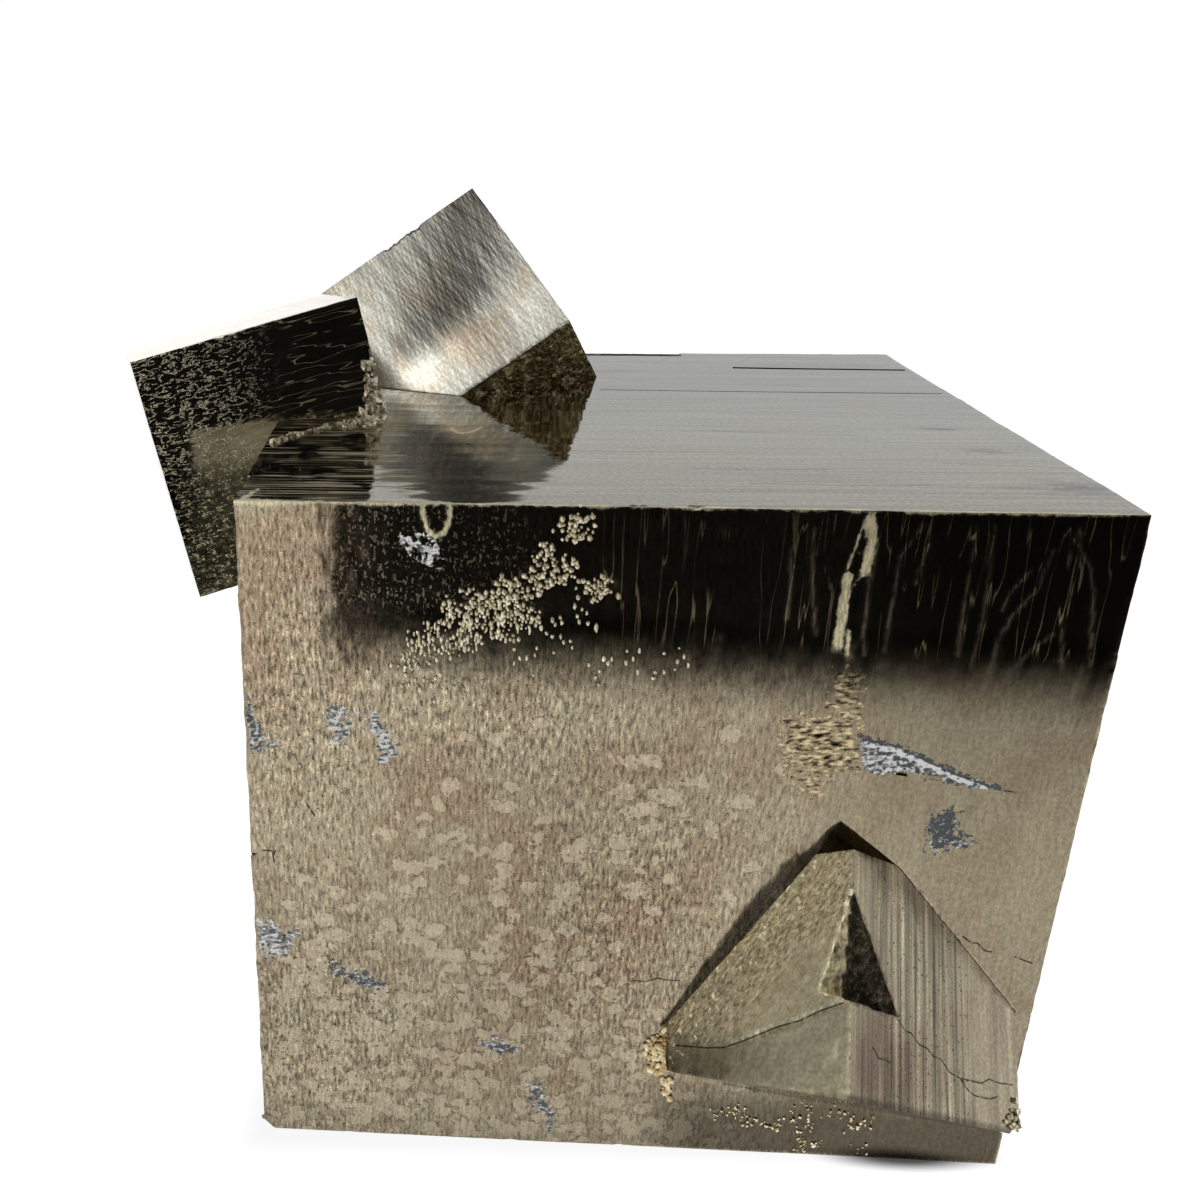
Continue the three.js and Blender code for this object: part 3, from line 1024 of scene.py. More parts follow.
SHINGLE_OUTLINES = [
    [
        (7.8, 36.5), (8.8, 36.8), (10.7, 37.1), (12.6, 36.8),
        (13.0, 34.8), (13.1, 33.1), (11.3, 32.8), (8.4, 32.6),
    ],
    [(10.7, 40.3), (12.2, 40.3), (12.4, 39.1), (12.5, 36.7), (11.3, 36.7), (10.7, 38.3)],
    [(9.0, 32.5), (11.0, 32.6), (10.8, 31.1), (9.4, 31.5)],
]


def outline_depth(x, z, outline):
    """How far inside an outline each place is, in mm; outside it is negative."""
    flat = np.column_stack([x, z])
    loop = [np.array(corner, float) for corner in [*outline, outline[0]]]
    away = line_distance(flat, loop)
    return np.where(inside(flat, list(zip(loop, loop[1:]))), away, -away)


print("marl patches:", len(MARL_OUTLINES))

# %% Zones, all empty
ZONE_NAMES = ("tone", "rosy", "grainy", "flecks", "rust", "pads", "curtain", "web", "faint")
OUTSIDE = -3.0
USUAL_CHALK = 0.5
zones = {name: np.zeros(len(points)) for name in ZONE_NAMES}
for name in ("marl", "shingle", "pale"):
    zones[name] = np.full(len(points), OUTSIDE)
zones["chalk"] = np.full(len(points), USUAL_CHALK)
zones["crack"] = np.minimum(crack, -OUTSIDE)


def points_of(*names):
    """The numbers of all points on the faces of these kinds."""
    chosen = [patch["ids"] for patch in patches if patch["kind"] in names]
    return np.unique(np.concatenate(chosen))


print("zones:", sorted(zones))

# %% Marl and rough patch of the front face
MARL_STEPS = [0.25, 0.4, 0.55, 0.8, 1.1]
MARL_BANDS = [-0.9, 1.3, 1.3, -0.1, 0.5]
SLIVER_BREAK = ((17.4, 33.0), (1.6, 0.45))
SLIVER_EDGE = 2.5


def marl_zones():
    """Where marl clings, and how chalky it is. The first patch is a sliver with bands along its top."""
    ids = points_of(*FRONT_KINDS)
    x, _, z = points[ids].T
    depths = np.array([outline_depth(x, z, outline) for outline in MARL_OUTLINES])
    chalk = np.array(MARL_CHALK)[depths.argmax(axis=0)]
    dark_half = (depths[1] > -0.3) * smooth(27.8, 29, z)
    from_top = line_distance(np.column_stack([x, z]), np.array(MARL_OUTLINES[0][:4], float))
    banded = np.interp(from_top, MARL_STEPS, MARL_BANDS)
    zones["chalk"][ids] = np.where(depths[0] > -0.4, banded, chalk + 0.3 - 0.45 * dark_half)
    depths[0] *= SLIVER_EDGE
    zones["marl"][ids] = depths.max(axis=0) - 0.9 * blob(x, z, *SLIVER_BREAK)
    rough = [outline_depth(x, z, outline) for outline in SHINGLE_OUTLINES]
    zones["shingle"][ids] = np.max(rough, axis=0)


marl_zones()
print("points on marl:", int((zones["marl"] > 0).sum()))

# %% Pads, flecks and tones of the front face
PAD_SPOTS = [(0.45, (-12, 29), (9, 8)), (0.45, (1, 31), (9, 7)), (0.25, (-3, 22), (7, 7))]
MOST_PADS = 0.95
ROSY_BASE = 0.15
ROSY_SPOTS = [
    (0.75, (-3, 19), (7, 9)), (0.6, (-24.5, 42), (4, 9)), (0.5, (-12, 6), (8, 3)),
    (0.4, (-14, 30), (7, 6)), (0.3, (3, 32), (6, 4)),
]
FLECK_BASE = 0.45
FLECK_SPOTS = [
    (0.55, (-2, 20), (8, 12)), (0.6, (-24, 38), (5, 14)), (0.5, (-12, 36), (9, 5)), (0.7, (-23, 9), (8, 9)),
]
FAINT_EDGE = 0.22
FAINT_CORE = 0.02


def front_zones():
    """Zones that fade into each other over the front face. A tone of -1 halves the brightness. The tone
    holds painted shade under the corner cube and a painted reflection at the foot of the dark band.
    """
    ids = points_of(*FRONT_KINDS)
    x, _, z = points[ids].T
    crowded = MOST_PADS * smooth(31, 10, z) * smooth(10, -9, x) + 0.55 * smooth(10, 4, z) * smooth(14, 4, x)
    pads = np.clip(crowded + blobs(x, z, PAD_SPOTS), 0, MOST_PADS)
    # Painted shade: the face is darkened under the corner cube's overhang.
    painted_shade_under_corner = 1.5 * smooth(7.5, 3.0, z) * smooth(0, 6, x)
    tarnish = 0.2 * smooth(33, 41, z) * smooth(-9, 1, x) + 0.28 * smooth(6, 16, x)
    tarnish += 0.5 * smooth(8, 22, x) * smooth(24, 40, z)
    # Painted reflection: the colour darkens at the foot of the dark band that the face mirrors.
    painted_band_reflection = 1.1 * smooth(36.5, 42.2, z) * smooth(-20, -15, x) * smooth(44, 42.5, z)
    flecks = FLECK_BASE + blobs(x, z, FLECK_SPOTS) - 0.25 * smooth(8, 16, x)
    near = np.min([line_distance(np.column_stack([x, z]), np.array(line)) for line in FAINT_LINES], axis=0)
    zones["pads"][ids] = pads
    zones["rosy"][ids] = ROSY_BASE + blobs(x, z, ROSY_SPOTS)
    zones["flecks"][ids] = np.clip(flecks, 0.12, 1)
    zones["tone"][ids] = 0.1 * smooth(-8, -20, x) - painted_shade_under_corner - tarnish - painted_band_reflection - 0.42 * pads
    zones["curtain"][ids] = smooth(41, 43, z) * smooth(-7, -4, x)
    zones["web"][ids] = smooth(42, 44, z) * smooth(-23, -21, x) * smooth(-7, -11, x)
    zones["faint"][ids] = smooth(FAINT_EDGE, FAINT_CORE, near)


front_zones()
print("darkest tone of the front face:", round(float(zones["tone"].min()), 2))

# %% Pale lines, worn edges with a painted highlight, and seams of painted shade
CHIPPED_CORNER = [
    (-27.9, -27.9), (-27.7, -26.2), (-27.3, -25.0), (-26.6, -23.9),
    (-26.4, -23.6), (-26.9, -25.1), (-27.2, -26.8), (-25.4, -27.7),
]
CHIP_EDGE = 0.1
HIGHLIGHT_RIM_WIDTH = 0.09


def raise_pale(ids, depth):
    zones["pale"][ids] = np.maximum(zones["pale"][ids], depth)


def pale_zones():
    """The pale lines, and the bright front edge of the top face: a painted highlight along its worn edge.
    """
    ids = points_of(*FRONT_KINDS)
    zones["pale"][ids] = pale_depth(points[ids][:, [0, 2]], FRONT_PALE_LINES)
    ids = points_of("large_top")
    zones["pale"][ids] = pale_depth(points[ids][:, :2], TOP_PALE_LINES)
    raise_pale(ids, outline_depth(*points[ids].T[:2], CHIPPED_CORNER) - CHIP_EDGE)
    # Painted highlight: a pale rim along the worn front edge of the top face.
    ids = points_of("large_top", *FRONT_KINDS)
    x = points[ids][:, 0]
    away = [-off_plane(name, points[ids]) for name in ("large_front", "large_top")]
    width = HIGHLIGHT_RIM_WIDTH + 0.1 * rough_noise(x / 1.3, x / 5, 51) + 0.1 * smooth(-22, -26, x)
    raise_pale(ids, width - np.max(away, axis=0))


def seam_shade_zones(first, second):
    """A thin painted shadow line in the crease where two kinds of face meet, kept with the cracks."""
    seam = set()
    for edge in skin.edges:
        sides = {kinds[area_of[face.index]] for face in edge.link_faces}
        if edge.index in chains and sides == {first, second}:
            seam.update(chains[edge.index])
    ids = points_of(first, second)
    near = KDTree(len(seam))
    for point in seam:
        near.insert(points[point], point)
    near.balance()
    away = np.array([near.find(place)[2] for place in points[ids]])
    zones["crack"][ids] = np.minimum(zones["crack"][ids], away)


pale_zones()
# The seams are painted shade in the creases between faces.
seam_shade_zones("large_front", "corner_front")
seam_shade_zones("large_top", "behind_front")
print("pale points:", int((zones["pale"] > 0).sum()))

# %% Zones of the faces that the photograph doesn't show
FINISH_OF = {
    "large_front": "front", "pit": "front", "rough_patch": "front", "large_top": "top",
    "left_front": "left_front", "behind_front": "behind_front", "corner_left": "corner_left",
    "corner_front": "corner_front", "broken": "broken", "behind_bottom": "speckled",
}
HIDDEN_TONE = -0.25
CORNER_BOTTOM_SHADE = -1.2
PIT_EDGE = 0.75


def hidden_face_zones():
    for patch in patches:
        kind, ids, seed = patch["kind"], patch["ids"], patch["seed"]
        if kind in FINISH_OF:
            continue
        along, across = patch["flat"].T
        x, y, z = points[ids].T
        zones["flecks"][ids] = 0.45 + 0.4 * noise(along / 6, across / 5, seed)
        zones["rosy"][ids] = 0.25 + 0.3 * noise(along / 9, across / 7, seed + 1)
        # Painted shade: broad darker and lighter areas that stand for the uneven reflections of a
        # mirror-like face.
        zones["tone"][ids] = HIDDEN_TONE + 0.55 * noise((x - y) / 17, z / 13, 61)
        # Painted shade: the corner cube's bottom face is darkened.
        if kind == "corner_bottom":
            zones["tone"][ids] += CORNER_BOTTOM_SHADE
        if kind.startswith("large"):
            zones["grainy"][ids] = 0.5 * side_patches(along, across, seed)
            zones["marl"][ids] = side_pits(along, across, seed) - PIT_EDGE
            zones["pads"][ids] = np.clip(0.35 + 0.5 * noise(along / 13, across / 11, seed + 2), 0, 0.9)


hidden_face_zones()
print("hidden areas:", sum(patch["kind"] not in FINISH_OF for patch in patches))

# %% Zones of the cube behind and the left cube, in their own frames
BEHIND_PALE = [(1.0, (3.0, 4.5), (5.5, 4.5)), (0.35, (16.5, 4), (3, 4.5)), (0.5, (1, 11), (4, 5))]
BEHIND_ROSY = ((11, 2.5), (4, 3))
LEFT_TOP_HIGHLIGHT = 1.5


def local_places(cube, ids):
    return (points[ids] - cube["corner"]) @ turn_of(cube)


def behind_front_zones():
    """A dark slanting band between two pale ends."""
    ids = points_of("behind_front")
    x, _, z = local_places(BEHIND_CUBE, ids).T
    off_band = ((x - 12.2) - (z - 11)) / 1.4
    dark = np.exp(-((off_band / 4.2) ** 2)) * smooth(4, 9, z)
    pale = blobs(x, z, BEHIND_PALE)
    zones["tone"][ids] = -0.5 - 2.05 * dark + 1.7 * pale * (1 - 0.8 * dark)
    zones["web"][ids] = 0.25 + 0.75 * np.clip(dark + 0.3 - 0.6 * pale, 0, 1)
    zones["rosy"][ids] = 0.6 * blob(x, z, *BEHIND_ROSY)


def left_cube_zones():
    """A dark olive lower part, a net of pale lines on the left, partly painted glints, and a painted
    highlight on the top face.
    """
    ids = points_of("left_front")
    x, _, z = local_places(LEFT_CUBE, ids).T
    low_part = smooth(11, 8.5, z + 0.1 * x)
    zones["grainy"][ids] = 0.35 * low_part + 0.5 * smooth(6, 3, z)
    zones["rosy"][ids] = low_part
    zones["flecks"][ids] = smooth(12.5, 3.5, x - 0.2 * (z - 10))
    zones["curtain"][ids] = smooth(6, 11, x) * smooth(8.5, 10, z)
    zones["tone"][ids] = -low_part
    # Painted highlight: the left cube's top face is made brighter.
    zones["tone"][points_of("left_top")] = LEFT_TOP_HIGHLIGHT


behind_front_zones()
left_cube_zones()
print("left cube's flecks:", round(float(zones["flecks"][points_of("left_front")].mean()), 2))

# %% Zones of the corner cube and the broken faces
CRACK_RUN = [0, 2.5, 9.2, 17]
CRACK_HEIGHT = [6, 5.4, 3.3, 3.0]
DARK_END = ((14, 1.2), (5, 2.2))
ROSY_CORNER = ((3, 2.5), (3.5, 3))
DARK_CORNER = ((2.5, 2), (3, 3.5))
RIM_SLOPE = 1.09
NOTCH_MIDDLE = (12.8, -35, 21)
NOTCH_SLOPE = 0.75


def corner_left_zones():
    """Darker below the crack, with a flecked and partly pale rim, and painted shade along its foot."""
    ids = points_of("corner_left")
    _, y, z = local_places(CORNER_CUBE, ids).T
    below = smooth(0.25, -0.25, z - np.interp(y, CRACK_RUN, CRACK_HEIGHT))
    upper_edge = smooth(7.0, 10.5, y + 0.55 * z)
    to_rim = y + RIM_SLOPE * z
    rim_band = np.maximum(smooth(13.2, 16.2, to_rim), smooth(9, 12, z))
    tone = 0.15 * smooth(8, 13, z) + 0.12 * upper_edge * (1 - below) - 1.2 * blob(y, z, *DARK_END)
    zones["flecks"][ids] = (0.22 + 0.6 * rim_band) * (1 - 0.75 * below)
    zones["pale"][ids] = 0.4 * smooth(16.2, 17.6, to_rim) * rough_noise(y / 0.3, z / 0.3, 59) - 0.3
    # Painted shade: the last half mm above the bottom edge is darkened.
    zones["tone"][ids] = tone - 0.25 * below - 0.8 * smooth(0.5, 0.2, z)


def corner_front_zones():
    """Strongly lined except at its right end, rosy and darker by the standing-out corner, and with painted
    shade along its foot.
    """
    ids = points_of("corner_front")
    x, _, z = local_places(CORNER_CUBE, ids).T
    tone = 0.3 * smooth(12, 14, x) - 0.35 * blob(x, z, *DARK_CORNER)
    zones["flecks"][ids] = smooth(13.5, 12.2, x) * (0.5 + 0.5 * smooth(1, 5, x))
    zones["rosy"][ids] = 0.25 + 0.8 * blob(x, z, *ROSY_CORNER)
    # Painted shade: the last half mm above the bottom edge is darkened.
    zones["tone"][ids] = tone - 1.2 * smooth(0.5, 0.2, z)


def broken_zones():
    """The notch has one dark wall and one pale, crusted wall. The broken face behind is speckled."""
    ids = points_of("broken")
    x, y, z = local_places(CORNER_CUBE, ids).T
    notch = smooth(9, 6, np.linalg.norm(points[ids] - NOTCH_MIDDLE, axis=1))
    dark_wall = x > NOTCH_SLOPE * y
    crust = np.where(notch > 0.5, 0.12 * rough_noise(y / 0.5, z / 0.5, 57), OUTSIDE)
    zones["tone"][ids] = notch * np.where(dark_wall, -1.2, 0.8)
    zones["pale"][ids] = np.where(dark_wall, OUTSIDE, crust)
    zones["grainy"][ids] = 1.0
    ids = points_of("behind_bottom")
    x, y, _ = local_places(BEHIND_CUBE, ids).T
    zones["tone"][ids] = -0.9 + 0.6 * noise(x / 2.5, y / 2.5, 58)
    zones["pale"][ids] = 0.45 * rough_noise(x / 0.5, y / 0.5, 59) - 0.26
    zones["grainy"][ids] = 1.0


corner_left_zones()
corner_front_zones()
broken_zones()
print("grainy points:", int((zones["grainy"] > 0.5).sum()))

# %% Zones of the top face
TOP_MARKS = [
    (2.2, (23.7, -13.8), (1.7, 0.5)), (1.8, (22.6, -7.0), (1.4, 0.35)), (1.5, (26.8, -23.0), (3.0, 1.5)),
    (1.4, (20, 18.3), (6, 0.6)), (0.9, (6, 19.5), (4, 0.6)), (0.9, (-1, 15), (3, 0.35)),
]
TOP_STAINS = [(1.0, (22.1, -23.4), (1.3, 0.25)), (1.0, (25.1, -24.0), (0.8, 0.2))]
TOP_PAINTED_SHEEN = ((-13, -13), (6, 8))


def top_zones():
    """Dark marks and stains, a painted highlight on the left part and a darker far part."""
    ids = points_of("large_top")
    x, y, _ = points[ids].T
    marks = blobs(x, y, TOP_MARKS) * (0.6 + 0.8 * noise(x / 1.1, y / 0.3, 71))
    left_part = smooth(-16.5, -20.5, x + 1.2 * noise(x / 3, y / 2, 72))
    zones["tone"][ids] = 0.5 * blob(x, y, *TOP_PAINTED_SHEEN) - marks - 0.5 * smooth(-12, 18, y)
    zones["curtain"][ids] = left_part * smooth(2, -6, y)
    zones["rust"][ids] = blobs(x, y, TOP_STAINS)


top_zones()
for name, field in zones.items():
    print(name, "from", round(float(field.min()), 2), "to", round(float(field.max()), 2))

# %% [markdown]
# ## Pyrite finish
# Pyrite is a pale brassy metal. A plain metal shader would look like sheet brass, so the finish is made
# of layers: a colour that drifts between rosy and olive, pale pads, fine lines and flecks that follow the
# growth direction, dark specks, and marl where it clings. One function makes all the face finishes, with
# the amounts that each face shows, so the whole specimen stays one mineral.

# %% Texture helpers
def mapped(tree, place, repeats, turn=0.0):
    """Coordinates in which a texture repeats so often per mm along and across the growth lines."""
    size = (1 / repeats[0], 1 / repeats[1], 1)
    inputs = {"Vector": place, "Rotation": (0, 0, math.radians(turn)), "Scale": size}
    return add_node(tree, "ShaderNodeMapping", inputs, vector_type="TEXTURE").outputs[0]


def noise_layer(tree, place, repeats, detail=3.0, rough=0.55, turn=0.0):
    vector = mapped(tree, place, repeats, turn)
    inputs = {"Vector": vector, "Scale": 1.0, "Detail": detail, "Roughness": rough}
    return add_node(tree, "ShaderNodeTexNoise", inputs, noise_dimensions="2D").outputs[0]


def zone(tree, name):
    return add_node(tree, "ShaderNodeAttribute", attribute_name=name).outputs["Fac"]


def fold(tree, operation, values):
    total = values[0]
    for value in values[1:]:
        total = sum_node(tree, operation, total, value)
    return total


def product(tree, *values):
    return fold(tree, "MULTIPLY", values)


def plus(tree, *values):
    return fold(tree, "ADD", values)


def thin_line(tree, wavy, outer, inner, amount=1.0):
    """A thin line wherever a texture passes through its middle value."""
    off_middle = sum_node(tree, "ABSOLUTE", plus(tree, wavy, -0.5))
    return spread(tree, off_middle, outer, inner, 0.0, amount)


def close_tree(tree, inputs, height=None):
    """Ends a material with its shader. The height, where there is one, is relief in mm."""
    if height is not None:
        bump = {"Height": height, "Strength": 1.0, "Distance": MM}
        inputs["Normal"] = add_node(tree, "ShaderNodeBump", bump).outputs[0]
    shader = add_node(tree, "ShaderNodeBsdfPrincipled", inputs)
    add_node(tree, "ShaderNodeOutputMaterial", {"Surface": shader.outputs[0]})


# %% Pads, flecks and scratches
PAD_REPEATS = (0.78, 0.62)
PAD_GAP_COLOUR = rgb(0.13, 0.095, 0.06)
PAD_COLOUR = rgb(0.5, 0.42, 0.3)
# Each set of scratches has a turn in degrees, a number per mm and a shade.
SCRATCHES = ((-17, 2.6, 0.8), (3, 3.2, -1.0), (20, 2.8, 0.7), (-4, 4.5, -0.6))
SCRATCHES_ALONG = 0.06


def pad_layer(tree, place):
    """Pale plates with lobed outlines, grown together in places, and the thin gaps along them."""
    inputs = {"Vector": place, "Scale": 1.5, "Detail": 1.0}
    drift = add_node(tree, "ShaderNodeTexNoise", inputs, noise_dimensions="2D").outputs["Color"]
    inputs = {0: drift, 1: (1.0, 1.0, 0), 2: place}
    bent = add_node(tree, "ShaderNodeVectorMath", inputs, operation="MULTIPLY_ADD").outputs[0]
    inputs = {"Vector": mapped(tree, bent, PAD_REPEATS), "Scale": 1.0, "Smoothness": 0.25}
    plates = add_node(tree, "ShaderNodeTexVoronoi", inputs, voronoi_dimensions="2D", feature="SMOOTH_F1")
    draw, width, _ = add_node(tree, "ShaderNodeSeparateColor", {0: plates.outputs["Color"]}).outputs
    wanted = sum_node(tree, "SUBTRACT", zone(tree, "pads"), draw)
    usual_radius = spread(tree, wanted, -0.1, 0.25, -0.5, 0.52)
    radius = product(tree, usual_radius, spread(tree, width, 0.1, 0.9, 0.7, 1.1))
    edge = sum_node(tree, "SUBTRACT", radius, plates.outputs["Distance"])
    inner = spread(tree, edge, -0.01, 0.07)
    rim = product(tree, spread(tree, edge, -0.13, -0.03), spread(tree, edge, 0.05, -0.02))
    return inner, rim


def fleck_layer(tree, fine, amount):
    """Dark and pale flecks along the growth lines, partly the metal's own colour and partly the painted
    shade and highlights of tiny raised flecks.
    """
    dark = spread(tree, fine, 0.52, 0.68, 0.0, -amount)
    pale = spread(tree, fine, 0.47, 0.3, 0.0, 0.7 * amount)
    return product(tree, plus(tree, dark, pale), zone(tree, "flecks"))


def speck_layer(tree, speckle, amount):
    """Small round specks: dark ones, and pale ones that are painted glints."""
    dark = spread(tree, speckle, 0.66, 0.72, 0.0, -amount)
    pale = spread(tree, speckle, 0.32, 0.27, 0.0, 0.7)
    return product(tree, plus(tree, dark, pale), zone(tree, "flecks"))


def scratch_layer(tree, place, amount):
    """Fine straight scratches that cross, some bright and some dark."""
    total = 0.0
    for turn, repeats, shift in SCRATCHES:
        wavy = noise_layer(tree, place, (SCRATCHES_ALONG, repeats), 1, 0.5, turn)
        total = plus(tree, total, thin_line(tree, wavy, 0.12, 0.02, shift * amount))
    return product(tree, total, zone(tree, "web"))


# %% Net, marl, rough patch and dull lines
DARK_MARL = rgb(0.05, 0.058, 0.062)
CHALKY_MARL = rgb(0.62, 0.62, 0.6)
LEDGE_GOLD = rgb(0.6, 0.5, 0.3)
LEDGE_BROWN = rgb(0.27, 0.215, 0.13)
LEDGE_SHADE = rgb(0.05, 0.04, 0.025)


def net_layer(tree, fine, grains):
    """Thin raised lines that join up like a torn net."""
    return product(tree, thin_line(tree, fine, 0.04, 0.01), spread(tree, grains, 0.4, 0.56))


def marl_layer(tree, colour, grains, speckle, streaks):
    """Grey marl dust with a ragged edge, dark or chalky."""
    ragged = plus(tree, zone(tree, "marl"), spread(tree, grains, 0.32, 0.68, -0.5, 0.5))
    on_marl = spread(tree, ragged, -0.03, 0.08)
    chalk = product(tree, zone(tree, "chalk"), 0.22)
    mixed = plus(tree, product(tree, streaks, 0.6), product(tree, speckle, 0.4), chalk)
    dust = blend_colour(tree, spread(tree, mixed, 0.5, 0.72), DARK_MARL, CHALKY_MARL)
    return blend_colour(tree, on_marl, colour, dust), on_marl


def shingle_layer(tree, colour, grains, streaks):
    """The rough patch: short dark ledges, one under the other, with gold between."""
    ragged = plus(tree, zone(tree, "shingle"), spread(tree, grains, 0.3, 0.7, -0.6, 0.6))
    rough = spread(tree, ragged, -0.05, 0.15)
    gold = blend_colour(tree, spread(tree, streaks, 0.3, 0.5), LEDGE_GOLD, LEDGE_BROWN)
    gold = blend_colour(tree, spread(tree, streaks, 0.52, 0.66), gold, LEDGE_SHADE)
    return blend_colour(tree, rough, colour, gold)


def matte_lines(tree, place, cloud, repeats, width):
    """Thin dull lines, which show where the face mirrors something dark."""
    line = thin_line(tree, noise_layer(tree, place, repeats, 2, 0.5), width, 0.0)
    return product(tree, line, spread(tree, cloud, 0.36, 0.5), zone(tree, "curtain"))


def web_layer(tree, fine, speckle):
    """Dull flecks on the dark upper left of the front face."""
    flecks = product(tree, spread(tree, fine, 0.5, 0.6), spread(tree, speckle, 0.44, 0.6))
    return product(tree, flecks, zone(tree, "web"), 0.2)


# %% Colours of the metal, its stains, cracks and worn parts, and of painted shade and highlights
STAIN_COLOUR = rgb(0.12, 0.065, 0.04)
CRACK_AND_SEAM_SHADE_COLOUR = rgb(0.02, 0.017, 0.012)
# The pale colour serves real pale lines and wear, and also painted highlights and glints.
WEAR_AND_HIGHLIGHT_COLOUR = rgb(0.97, 0.88, 0.6)
WEAR_AND_HIGHLIGHT_DARK = rgb(0.42, 0.34, 0.18)


def metal_colour(tree, place, amount, colours, layers):
    """The metal from pale to rosy, brighter or darker by its lines, flecks, specks and grains."""
    hue = plus(tree, zone(tree, "rosy"), spread(tree, layers["cloud"], 0.42, 0.62, -0.2, 0.35))
    colour = blend_colour(tree, hue, *colours)
    line_shade = spread(tree, layers["lines"], 0.3, 0.7, -amount["line_shade"], amount["line_shade"])
    texture = fleck_layer(tree, layers["fine"], amount["fleck_shade"])
    texture = plus(tree, texture, spread(tree, layers["speckle"], 0.3, 0.7, -0.2, 0.2))
    if amount["pads"]:
        on_pad, rim = pad_layer(tree, place)
        on_pad = product(tree, on_pad, amount["pads"])
        in_gap = product(tree, rim, spread(tree, layers["grains"], 0.42, 0.66, 0.0, 0.75))
        colour = blend_colour(tree, on_pad, colour, PAD_COLOUR)
        colour = blend_colour(tree, in_gap, colour, PAD_GAP_COLOUR)
        texture = product(tree, texture, spread(tree, on_pad, 0.0, 1.0, 1.0, 0.3))
    if amount["scratches"]:
        texture = plus(tree, texture, scratch_layer(tree, place, amount["scratches"]))
    specks = speck_layer(tree, layers["speckle"], amount["speck_shade"])
    graininess = product(tree, spread(tree, layers["grains"], 0.35, 0.65, -0.9, 0.7), zone(tree, "grainy"))
    steps = plus(tree, line_shade, zone(tree, "tone"), texture, specks, graininess)
    return blend_colour(tree, 1.0, colour, sum_node(tree, "POWER", 2.0, steps), "MULTIPLY")


def stain_layer(tree, colour, layers):
    """Brown stains, and the dark of the cracks and of the painted shade in the seams."""
    on_stain = product(tree, zone(tree, "rust"), spread(tree, layers["speckle"], 0.35, 0.6))
    # This dark is partly real cracks and partly painted shade in the creases between faces.
    near_crack_and_seam_shade = spread(tree, zone(tree, "crack"), 0.08, 0.03)
    in_crack_and_seam_shade = product(tree, near_crack_and_seam_shade, spread(tree, layers["grains"], 0.3, 0.5, 0.35, 0.95))
    colour = blend_colour(tree, on_stain, colour, STAIN_COLOUR)
    return blend_colour(tree, in_crack_and_seam_shade, colour, CRACK_AND_SEAM_SHADE_COLOUR)


def wear_and_highlight_layer(tree, colour, layers, net_pale):
    """Pale lines, worn edges with a painted highlight on the top face's front edge and, where a face has
    one, the pale net with its painted glints. Gives the colour and the share.
    """
    ragged = plus(tree, zone(tree, "pale"), spread(tree, layers["grains"], 0.3, 0.7, -0.06, 0.06))
    on_pale = spread(tree, ragged, -0.16, 0.14)
    # The net is raised lines, and its pale colour is a painted glint.
    if net_pale:
        glint = spread(tree, layers["speckle"], 0.35, 0.65, 0.25, 1.0)
        net = net_layer(tree, layers["fine"], layers["grains"])
        net = product(tree, net, zone(tree, "flecks"), glint, net_pale)
        on_pale = sum_node(tree, "MAXIMUM", on_pale, net)
    dulled = spread(tree, layers["fine"], 0.45, 0.62, 0.0, 0.6)
    wear_and_highlight_colour = blend_colour(tree, dulled, WEAR_AND_HIGHLIGHT_COLOUR, WEAR_AND_HIGHLIGHT_DARK)
    return blend_colour(tree, on_pale, colour, wear_and_highlight_colour), on_pale


# %% Finish function
USUAL_AMOUNTS = {
    "roughness": 0.14, "lines": (0.06, 1.4), "line_shade": 0.2, "line_bump": 0.0,
    "flecks": (1.1, 4.2), "fleck_shade": 0.5, "fleck_turn": 0.0, "speck_shade": 1.4,
    "net_bump": 0.0, "net_pale": 0.0, "pads": 0.0, "scratches": 0.0, "grain_bump": 0.0,
    "matte": 0.0, "matte_lines": (0.06, 0.8), "matte_width": 0.016, "graze": 1.0,
}
CLOUD_REPEATS = (0.16, 0.16)
SPECKLE_REPEATS = (3.2, 3.2)
GRAIN_REPEATS = (1.6, 1.8)
LEDGE_REPEATS = (4.0, 1.5)
LEDGE_TURN = 8
DULL_COLOUR = rgb(0.55, 0.45, 0.24)
GRAINY_ROUGHNESS = 0.1
WEAR_AND_HIGHLIGHT_ROUGHNESS = 0.38
MARL_ROUGHNESS = 0.5


def relief_layer(tree, amount, layers):
    """Relief too fine for the mesh, in mm. A layer that a face doesn't have is left out."""
    found = []
    if amount["line_bump"]:
        found.append(product(tree, layers["lines"], amount["line_bump"]))
    if amount["net_bump"]:
        net = net_layer(tree, layers["fine"], layers["grains"])
        found.append(product(tree, net, zone(tree, "flecks"), amount["net_bump"]))
    if amount["grain_bump"]:
        found.append(product(tree, layers["grains"], zone(tree, "grainy"), amount["grain_bump"]))
    return plus(tree, *found) if found else None


